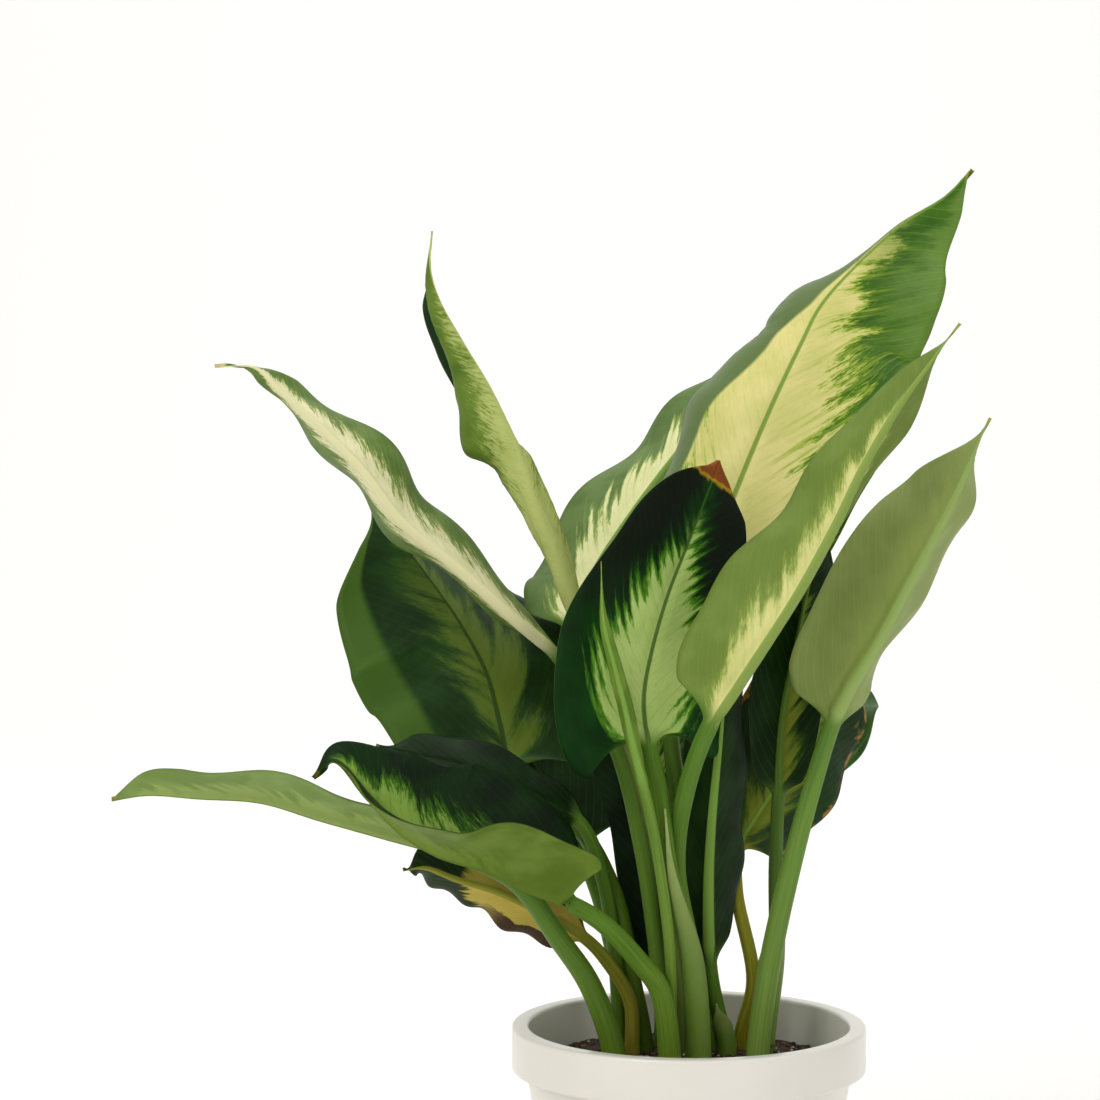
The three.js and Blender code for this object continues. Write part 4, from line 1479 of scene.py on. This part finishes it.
# ---- the leaves, as seen from the front ----
LEAVES = (
    Leaf(
        "upper_right", Face.UPPER, Slot.CREAM, root=(9, 17), stalk=(4.6, 3.2),
        petiole=((-4, 19, 218), (-8, 20, 252)),
        midrib=((-8, 22, 280), (5, 28, 309), (21, 36, 349), (36, 43, 384), (50, 49, 413),
            (58, 53, 428), (72, 56, 444), (93, 58, 463), (113, 60, 476), (124, 60, 488)),
        half_width=54, taper=0.75, lobe=16, point=0.85, wave=2.5, waves=4, ruffle=0.8,
        left=Half((10, -15, -38, -82, -100), (-30, -70, -75, -60, -40)),
        right=Half((15, 5, 5, 10, 0), (15, 15)),
        # the hem colour along the left margin is the margin's own green with a painted grey sheen
        # where the margin turns back
        finish=LeafFinish(Variegation((0.4, 0.5, 0.66, 0.8, 0.7, 0.2, 0, 0),
            (1, 0.8, 0.5, 0.42, 0.36, 0.06, 0, 0), jag=0.3, teeth=0.03, fleck=0.2, soft=0.07,
            finger=1.2, streaks=0.85, streak_reach=0.65), seed=1, upper=Upper((62, 106, 14),
            (42, 86, 8), (150, 176, 48), (222, 212, 136), (104, 142, 34)),
            under=Under((88, 112, 54), (72, 96, 42), (92, 116, 58), (100, 122, 64)),
            outer=(96, 130, 48), vein=(140, 164, 80), vein_show=0.22, rib_width=0.17, lit_hem_edge=(0.8,
            0.72, 0.56, 0.26, 0.06, 0, 0, 0), lit_hem=(92, 114, 60), outer_reach=0.8),
    ),
    Leaf(
        "upper_back", Face.UNDER, Slot.UNDERSIDE, root=(-3, 28), stalk=(4, 3),
        petiole=((-14, 26, 195), (-33, 23, 247)),
        midrib=((-50, 34, 288), (-39, 56, 312), (-21, 78, 338), (2, 94, 367), (24, 106, 391),
            (48, 114, 417), (67, 120, 437)),
        half_width=38, taper=0.9, lobe=14, wave=3, waves=4,
        left=Half((-35, -45, -58, -62, -55), (-10, -10)),
        right=Half((-25, -30, -30, -30, -20), (0, 0)),
        finish=LeafFinish(Variegation((0.35, 0.42, 0.38, 0.25, 0), (0.8, 0.8, 0.7, 0.5, 0),
            jag=0.34, teeth=0.14, finger=0.8), seed=2, under=Under((98, 124, 62), (84, 110, 50),
            cream=(232, 230, 172))),
    ),
    Leaf(
        "upper_left", Face.UNDER, Slot.UNDERSIDE, root=(-10, 0), stalk=(4, 2.8),
        petiole=((-20, -3, 199), (-34, -6, 250)),
        midrib=((-55, -8, 281), (-73, -18, 298), (-99, -25, 322), (-120, -28, 340),
            (-136, -28, 361), (-155, -24, 380), (-171, -19, 394), (-181, -16, 403),
            (-198, -14, 403)),
        half_width=29, taper=1.2, lobe=8, wave=2, waves=4,
        left=Half((-70, -66, -62, -60, -40), (-15, -15)),
        right=Half((-72, -62, -48, -58, -50), (-15, -15)),
        finish=LeafFinish(Variegation((0.32, 0.38, 0.36, 0.32, 0), (0.36, 0.42, 0.42, 0.36, 0),
            jag=0.24, teeth=0.06, fleck=0.3, soft=0.08, finger=0.8), seed=3,
            under=Under((104, 130, 62), (84, 112, 44), (156, 168, 88), (232, 226, 182),
            (220, 216, 166))),
    ),
    Leaf(
        "rolled_young", Face.UNDER, Slot.YOUNG, root=(-2, 10), stalk=(4, 4.2),
        petiole=((-15, 7, 198), (-29, 4, 249)),
        midrib=((-46, 4, 294), (-57, 2, 326), (-63, 1, 339), (-71, 0, 361), (-78, 0, 377),
            (-86, 0, 394), (-97, 0, 413), (-106, 0, 430), (-109, 0, 443), (-108, 0, 460)),
        half_width=24, taper=1.2, lobe=0, wave=0, waves=0,
            turn=(0, 0, 0, 20, 50, 68, 80, 85, 60, 0),
        left=Half((0, 0), (-220, -220, -225, -180, -105, -160, -240, -250, -160, -60)),
        right=Half((0, 0, 0, 0, -20, -18, -15, -15, -10, 0), (-185, -185, -185, -160, -105, -100,
            -100, -95, -60, -60)),
        # the pale middle with its very soft edge is partly the young leaf's own pale middle and
        # partly painted shading, darker towards the sides of the roll
        finish=LeafFinish(Variegation((0.6, 0.5, 0.4, 0.3, 0.22, 0.15, 0.1, 0, 0),
            (0.6, 0.5, 0.4, 0.3, 0.24, 0.2, 0.1, 0, 0), jag=0.3, teeth=0, fleck=0.4, soft=0.22,
            finger=1.6), seed=4, upper=Upper((26, 60, 12), (16, 44, 8)), under=Under((96, 122, 38),
            (72, 100, 22), (128, 152, 54), (186, 194, 116), (182, 190, 112)),
            stalk_high=(176, 186, 110), vein_show=0.04),
    ),
    Leaf(
        "front_dark", Face.UPPER, Slot.DARK, root=(3, -16), stalk=(5.6, 3.6),
        petiole=((0, -20, 156), (-10, -28, 195), (-14, -34, 229)),
        midrib=((-18, -36, 247), (-20, -34, 267), (-17, -30, 285), (-10, -24, 309), (-1, -16, 331),
            (6, -8, 348), (10, -3, 358), (12, -1, 364)),
        half_width=40, taper=1.2, lobe=50, point=0.3,
        left=Half((0, 10, 25, 30, 30), (10, 10)), right=Half((-25, -28, -25, -28, -20), (5, 5)),
        finish=DarkFinish(Variegation((0.4, 0.42, 0.46, 0.26, 0.04, 0, 0, 0),
            (0.5, 0.52, 0.52, 0.34, 0.08, 0, 0, 0), jag=0.16, teeth=0.12, soft=0.05, band=0.16,
            finger=0.8, streaks=0.35, streak_reach=0.3), seed=5, upper=Upper((8, 58, 6), (6, 44, 4),
            (84, 140, 30), (180, 202, 116), (46, 88, 20)), outer=(12, 22, 8), outer_start=0.2,
            vein=(24, 74, 16), rib_width=0.15, shine=0.1, tip_brown=0.16, tip_show=1,
            tip=(132, 70, 28), yellow=(176, 140, 24)),
    ),
    Leaf(
        "front_slim", Face.UNDER, Slot.YOUNG, root=(-8, -17), stalk=(2.4, 2.2),
        petiole=((-9, -30, 160), (-14, -38, 200)),
        midrib=((-20, -46, 230), (-25, -48, 250), (-28, -48, 264), (-32, -48, 280), (-37, -47, 301),
            (-38, -45, 325)),
        half_width=7, taper=0.8, lobe=0, wave=0, waves=0,
        left=Half((0, 0), (-150, -150)), right=Half((0, 0), (-120, -120)),
        finish=LeafFinish(Variegation(), seed=6, under=Under((110, 140, 50), (90, 122, 36)),
            stalk_high=(110, 142, 48)),
    ),
    Leaf(
        "front_right", Face.UNDER, Slot.UNDERSIDE, root=(5, -3), stalk=(4.6, 3.6),
        petiole=((1, -8, 154), (-6, -17, 194), (-3, -38, 229)),
        midrib=((6, -53, 258), (17, -59, 276), (29, -64, 295), (42, -67, 316), (55, -68, 340),
            (66, -67, 363), (80, -65, 387), (94, -62, 406), (106, -56, 422)),
        half_width=34, taper=1.05, lobe=12, waves=4,
        left=Half((-5, -20, -42, -45, -35), (-15, -15)),
        right=Half((-80, -85, -78, -55, -40), (-10, -10)),
        finish=LeafFinish(Variegation((0.28, 0.28, 0.24, 0.2, 0.14, 0, 0),
            (0.7, 0.6, 0.45, 0.3, 0.1, 0, 0), jag=0.2, teeth=0.03, fleck=0.14, soft=0.1, finger=1,
            streaks=0.3), seed=7, under=Under((112, 134, 56), (102, 124, 46), (150, 168, 74),
            (216, 212, 138), (134, 156, 72)), vein_show=0.25),
    ),
    Leaf(
        "right_pale", Face.UNDER, Slot.PALE, root=(29, -8), stalk=(5.6, 3.6),
        petiole=((34, -9, 154), (43, -10, 196), (52, -9, 230)),
        midrib=((59, -10, 253), (65, -15, 268), (76, -21, 288), (87, -26, 310), (100, -29, 335),
            (108, -30, 351), (115, -29, 367), (122, -26, 383)),
        half_width=34, taper=0.85, lobe=12,
        left=Half((-15, -18, -25, -35, -30), (-15, -15)),
        right=Half((-50, -68, -62, -60, -65), (-10, -10)),
        finish=LeafFinish(Variegation((0.1, 0.2, 0.15, 0.1, 0), jag=0.25, soft=0.25, finger=1.2,
            streaks=0.2), seed=8, under=Under((138, 154, 84), (130, 146, 76), (142, 160, 84),
            (148, 166, 84), (146, 170, 92)), vein_show=0.6, stalk_low=(122, 148, 62),
            stalk_high=(100, 136, 50)),
    ),
    Leaf(
        "left_dark", Face.UPPER, Slot.DARK, root=(-19, 8), stalk=(4.4, 3.2),
        petiole=((-24, 8, 143), (-31, 6, 178), (-45, 4, 206), (-61, 4, 220)),
        midrib=((-74, 8, 229), (-80, 20, 250), (-86, 30, 271), (-97, 39, 291), (-104, 44, 301),
            (-118, 54, 319), (-129, 60, 332), (-137, 64, 341)),
        half_width=54, taper=0.75, lobe=34, wave=2,
        left=Half((0, 5, 10, 15, 10), (10, 10)), right=Half((-10, -30, -58, -72, -75), (0, 0)),
        # hem: a painted lighter strip along the left margin, standing in for the light falling on
        # the margin's bend there
        finish=DarkFinish(Variegation((0.08, 0.1, 0.08, 0.04, 0), (0.2, 0.24, 0.2, 0.1, 0), jag=0.3,
            soft=0.12, teeth=0.04, finger=1.1, streaks=0.2, streak_reach=0.3), seed=9,
            upper=Upper((26, 58, 12), (18, 44, 8), (64, 92, 22), (92, 110, 34), (32, 60, 12)),
            vein=(70, 96, 28), rib_width=0.17, lit_hem_edge=(0.6, 0.58, 0.62, 0.7), lit_hem=(66, 96, 30),
            lit_hem_soft=0.1),
    ),
    Leaf(
        "low_left", Face.UPPER, Slot.PALE, root=(-32, -17), stalk=(5.6, 3.8),
        petiole=((-42, -19, 145), (-55, -22, 165), (-73, -27, 190)),
        midrib=((-98, -32, 203), (-127, -42, 213), (-152, -50, 221), (-176, -57, 229),
            (-200, -62, 231), (-220, -64, 232), (-236, -64, 229)),
        half_width=24, taper=0.6, lobe=6, point=0.5,
        left=Half((130, 132, 130, 132, 165), (-10, -10)),
        right=Half((-75, -80, -85, -85, -80), (10, 10)),
        finish=LeafFinish(Variegation((0.3, 0.3, 0.3, 0.2, 0)), seed=10, under=Under((126, 150, 78),
            (110, 136, 64), (134, 156, 80), (142, 162, 86), (112, 142, 54))),
    ),
    Leaf(
        "low_left_dark", Face.UPPER, Slot.DARK, root=(-9, -31), stalk=(5.4, 3.6),
        petiole=((-13, -32, 145), (-22, -34, 158), (-36, -40, 174)),
        midrib=((-49, -44, 183), (-67, -51, 191), (-86, -58, 201), (-104, -63, 208),
            (-118, -66, 217), (-132, -65, 231), (-146, -62, 245), (-155, -60, 238)),
        half_width=40, taper=1, lobe=38,
        left=Half((150, 142, 118, 100, 70), (-10, -10)),
        right=Half((-40, -25, -20, -20, -20), (0, 0)),
        finish=DarkFinish(Variegation((0, 0, 0.1, 0.2, 0.24, 0.1, 0),
            (0, 0.06, 0.22, 0.28, 0.26, 0.1, 0), jag=0.26, fleck=0.2, soft=0.07, band=0.2,
            finger=0.9, streaks=0.4), seed=11, upper=Upper((12, 42, 6), (8, 28, 6), (66, 112, 22),
            (142, 172, 74), (30, 56, 14)), under=Under((104, 128, 44), (86, 110, 30),
            (106, 130, 46), (112, 134, 50), (90, 114, 36)), rib_width=0.3, vein_show=0.04),
    ),
    Leaf(
        "low_left_old", Face.UNDER, Slot.OLD, root=(-24, -2), stalk=(3.6, 2.6),
        petiole=((-25, -2, 135), (-35, -6, 153)),
        midrib=((-44, -9, 163), (-61, -13, 174), (-80, -17, 184), (-98, -20, 190), (-111, -22, 195),
            (-120, -24, 194)),
        half_width=23, taper=0.7, lobe=4, waves=5,
        left=Half((-20, -35, -50, -55, -60), (-20, -20)),
        right=Half((-50, -50, -50, -50, -40), (-10, -10)),
        finish=LeafFinish(Variegation((1, 1, 1, 0, 0, 0), teeth=0.1, fleck=0.2, finger=0.8),
            seed=12, under=Under((28, 52, 10), (16, 36, 6), (120, 120, 34), (190, 168, 74),
            (140, 140, 50)), yellow=(164, 120, 40), yellowing=0.12, withered=0.42, withered_to=0.45,
            shine=0.08, stalk_low=(160, 146, 50), stalk_high=(134, 136, 42)),
    ),
    Leaf(
        "back_right_old", Face.UPPER, Slot.OLD, root=(23, 15), stalk=(3.6, 2.6),
        petiole=((28, 13, 141), (21, 17, 179)),
        midrib=((22, 20, 196), (36, 26, 219), (52, 34, 245), (66, 42, 267), (78, 50, 284)),
        half_width=35, taper=0.6, lobe=8, wave=2,
        left=Half((10, 10), (10, 10)), right=Half((-25, -30, -35, -40, -40), (-10, -10)),
        finish=DarkFinish(Variegation((0.2, 0.2, 0.15, 0.1, 0), (0.2, 0.25, 0.2, 0.1, 0), jag=0.3,
            soft=0.15, finger=0.9), seed=13, upper=Upper((24, 56, 8), (14, 38, 4), (66, 92, 14),
            (112, 122, 26)), yellowing=0.16, withered=0.03, yellow=(140, 140, 20),
            brown=(150, 110, 40), stalk_low=(160, 150, 40), stalk_high=(150, 150, 40)),
    ),
    # inner_folded: its near-black colours, on the underside too, are painted shade for the dark
    # inside of the plant
    Leaf(
        "inner_folded", Face.UNDER, Slot.DARK, root=(16, 3), stalk=(4, 3),
        petiole=((12, 1, 132),),
        midrib=((9, -2, 150), (8, -5, 182), (9, -7, 210), (12, -8, 245), (15, -7, 280),
            (20, -5, 310)),
        half_width=24, taper=0.8, lobe=0, wave=1, waves=4,
        left=Half((-50, -50), (-10, -10)), right=Half((-40, -40, -45, -50, -50), (-20, -20)),
        finish=DarkFinish(Variegation(), seed=14, upper=Upper((16, 46, 8), (8, 30, 4)),
            under=Under((24, 52, 12), (14, 38, 6)), vein_show=0.05),
    ),
    Leaf(
        "right_inner", Face.UPPER, Slot.DARK, root=(33, 8), stalk=(3.6, 2.8),
        petiole=((37, 8, 151), (37, 8, 190)),
        midrib=((38, 8, 220), (40, 9, 256), (46, 10, 288), (52, 12, 315), (60, 14, 338)),
        half_width=19, taper=0.8, lobe=6, wave=1, left=Half((20, 30, 30, 30, 20), (10, 10)),
        finish=DarkFinish(Variegation((0, 0, 0, 0.1, 0), (0.3, 0.4, 0.2, 0, 0), soft=0.15), seed=15,
            upper=Upper((18, 44, 8), (10, 32, 4), (66, 96, 18), (122, 130, 40), (92, 122, 48)),
            rib_width=0.26, stalk_low=(96, 128, 46), stalk_high=(84, 114, 42)),
    ),
    # left_inner: its near-black colours, on the underside too, are painted shade for the dark
    # inside of the plant
    Leaf(
        "left_inner", Face.UPPER, Slot.DARK, root=(-29, 5), stalk=(3.6, 2.8),
        petiole=((-31, 3, 150), (-36, -2, 185)),
        midrib=((-46, -9, 212), (-71, -16, 227), (-96, -22, 238), (-117, -25, 243),
            (-131, -26, 247)),
        half_width=20, taper=0.9, lobe=4, wave=1,
        left=Half((70, 70, 70, 70, 60), (0, 0)), right=Half((-60, -60, -60, -60, -50), (0, 0)),
        finish=DarkFinish(Variegation(), seed=16, upper=Upper((14, 44, 6), (8, 30, 4),
            rib=(26, 56, 14)), under=Under((44, 78, 20), (30, 60, 12), rib=(50, 82, 24)),
            vein_show=0.05),
    # shade_inner: a near-black leaf whose colours are painted shade, filling the dark hollow
    # between the stalks
    ),
    Leaf(
        "shade_inner", Face.UPPER, Slot.DARK, root=(-11, 18), stalk=(3.6, 2.8),
        petiole=((-11, 18, 124),),
        midrib=((-12, 18, 140), (-14, 18, 162), (-16, 17, 187), (-19, 15, 212), (-26, 13, 232),
            (-33, 13, 251), (-39, 14, 270), (-43, 16, 289)),
        half_width=15, taper=0.7, lobe=0, wave=1,
        left=Half((0, 0), (0, 0)), right=Half((28, 40, 38, 15, 0), (0, 0)),
        finish=DarkFinish(Variegation(), seed=17, upper=Upper((12, 38, 6), (6, 26, 4)),
            vein_show=0.05),
    ),
    Leaf(
        "back_left", Face.UPPER, Slot.CREAM, root=(-22, 38), stalk=(4, 3),
        petiole=((-30, 46, 142), (-37, 56, 168)),
        midrib=((-45, 63, 188), (-57, 72, 212), (-75, 84, 238), (-96, 94, 262), (-120, 100, 284)),
        half_width=34, taper=0.9, lobe=10, left=Half((15, 20, 20, 20, 10), (10, 10)),
        finish=DarkFinish(Variegation((0, 0, 0, 0.4, 0.4, 0), (0, 0, 0, 0.3, 0.4, 0), jag=0.3),
            seed=18, upper=Upper((26, 58, 14), (16, 42, 8), rib=(40, 70, 20)),
            under=Under(rib=(60, 90, 30))),
    ),
    Leaf(
        "back_middle", Face.UPPER, Slot.DARK, root=(9, 40), stalk=(4.2, 3.2),
        petiole=((6, 58, 150), (-6, 70, 180)),
        midrib=((-16, 80, 205), (-20, 90, 232), (-20, 104, 262), (-14, 118, 292), (-4, 128, 318),
            (8, 134, 338)),
        half_width=40, taper=0.9, lobe=12, wave=2, left=Half((20, 25, 25, 25, 15), (10, 10)),
        finish=LeafFinish(Variegation((0.4, 0.4, 0.3, 0.1, 0), jag=0.3), seed=19,
            upper=Upper((26, 68, 14), (16, 52, 10), cream=(190, 202, 104))),
    ),
    Leaf(
        "back_right", Face.UPPER, Slot.CREAM, root=(25, 30), stalk=(4, 3),
        petiole=((38, 50, 150), (46, 66, 190)),
        midrib=((50, 80, 216), (55, 96, 236), (60, 112, 250), (65, 128, 258), (70, 142, 260)),
        half_width=32, taper=0.9, lobe=10, wave=2, left=Half((20, 25, 25, 25, 15), (10, 10)),
        finish=LeafFinish(Variegation((0.6, 0.6, 0.5, 0.3, 0), jag=0.5), seed=20),
    ),
)
LEAF = {leaf.name: leaf for leaf in LEAVES}
SHEATHS = (
    Sheath(LEAF["front_dark"], start=0.28, end=0.8, facing=15.0, wrap=75.0, flare=1.0),
    Sheath(LEAF["inner_folded"], start=0.4, end=0.8, facing=0.0),
    Sheath(LEAF["right_inner"], start=0.38, end=0.85, facing=80.0),
)


def main() -> None:
    """Builds the pot, the soil and every leaf, and then the studio round them."""
    Pot().build()
    Soil().build()
    for part in (*LEAVES, *SHEATHS):
        part.build()
    Studio().build()


if __name__ == "__main__":
    main()
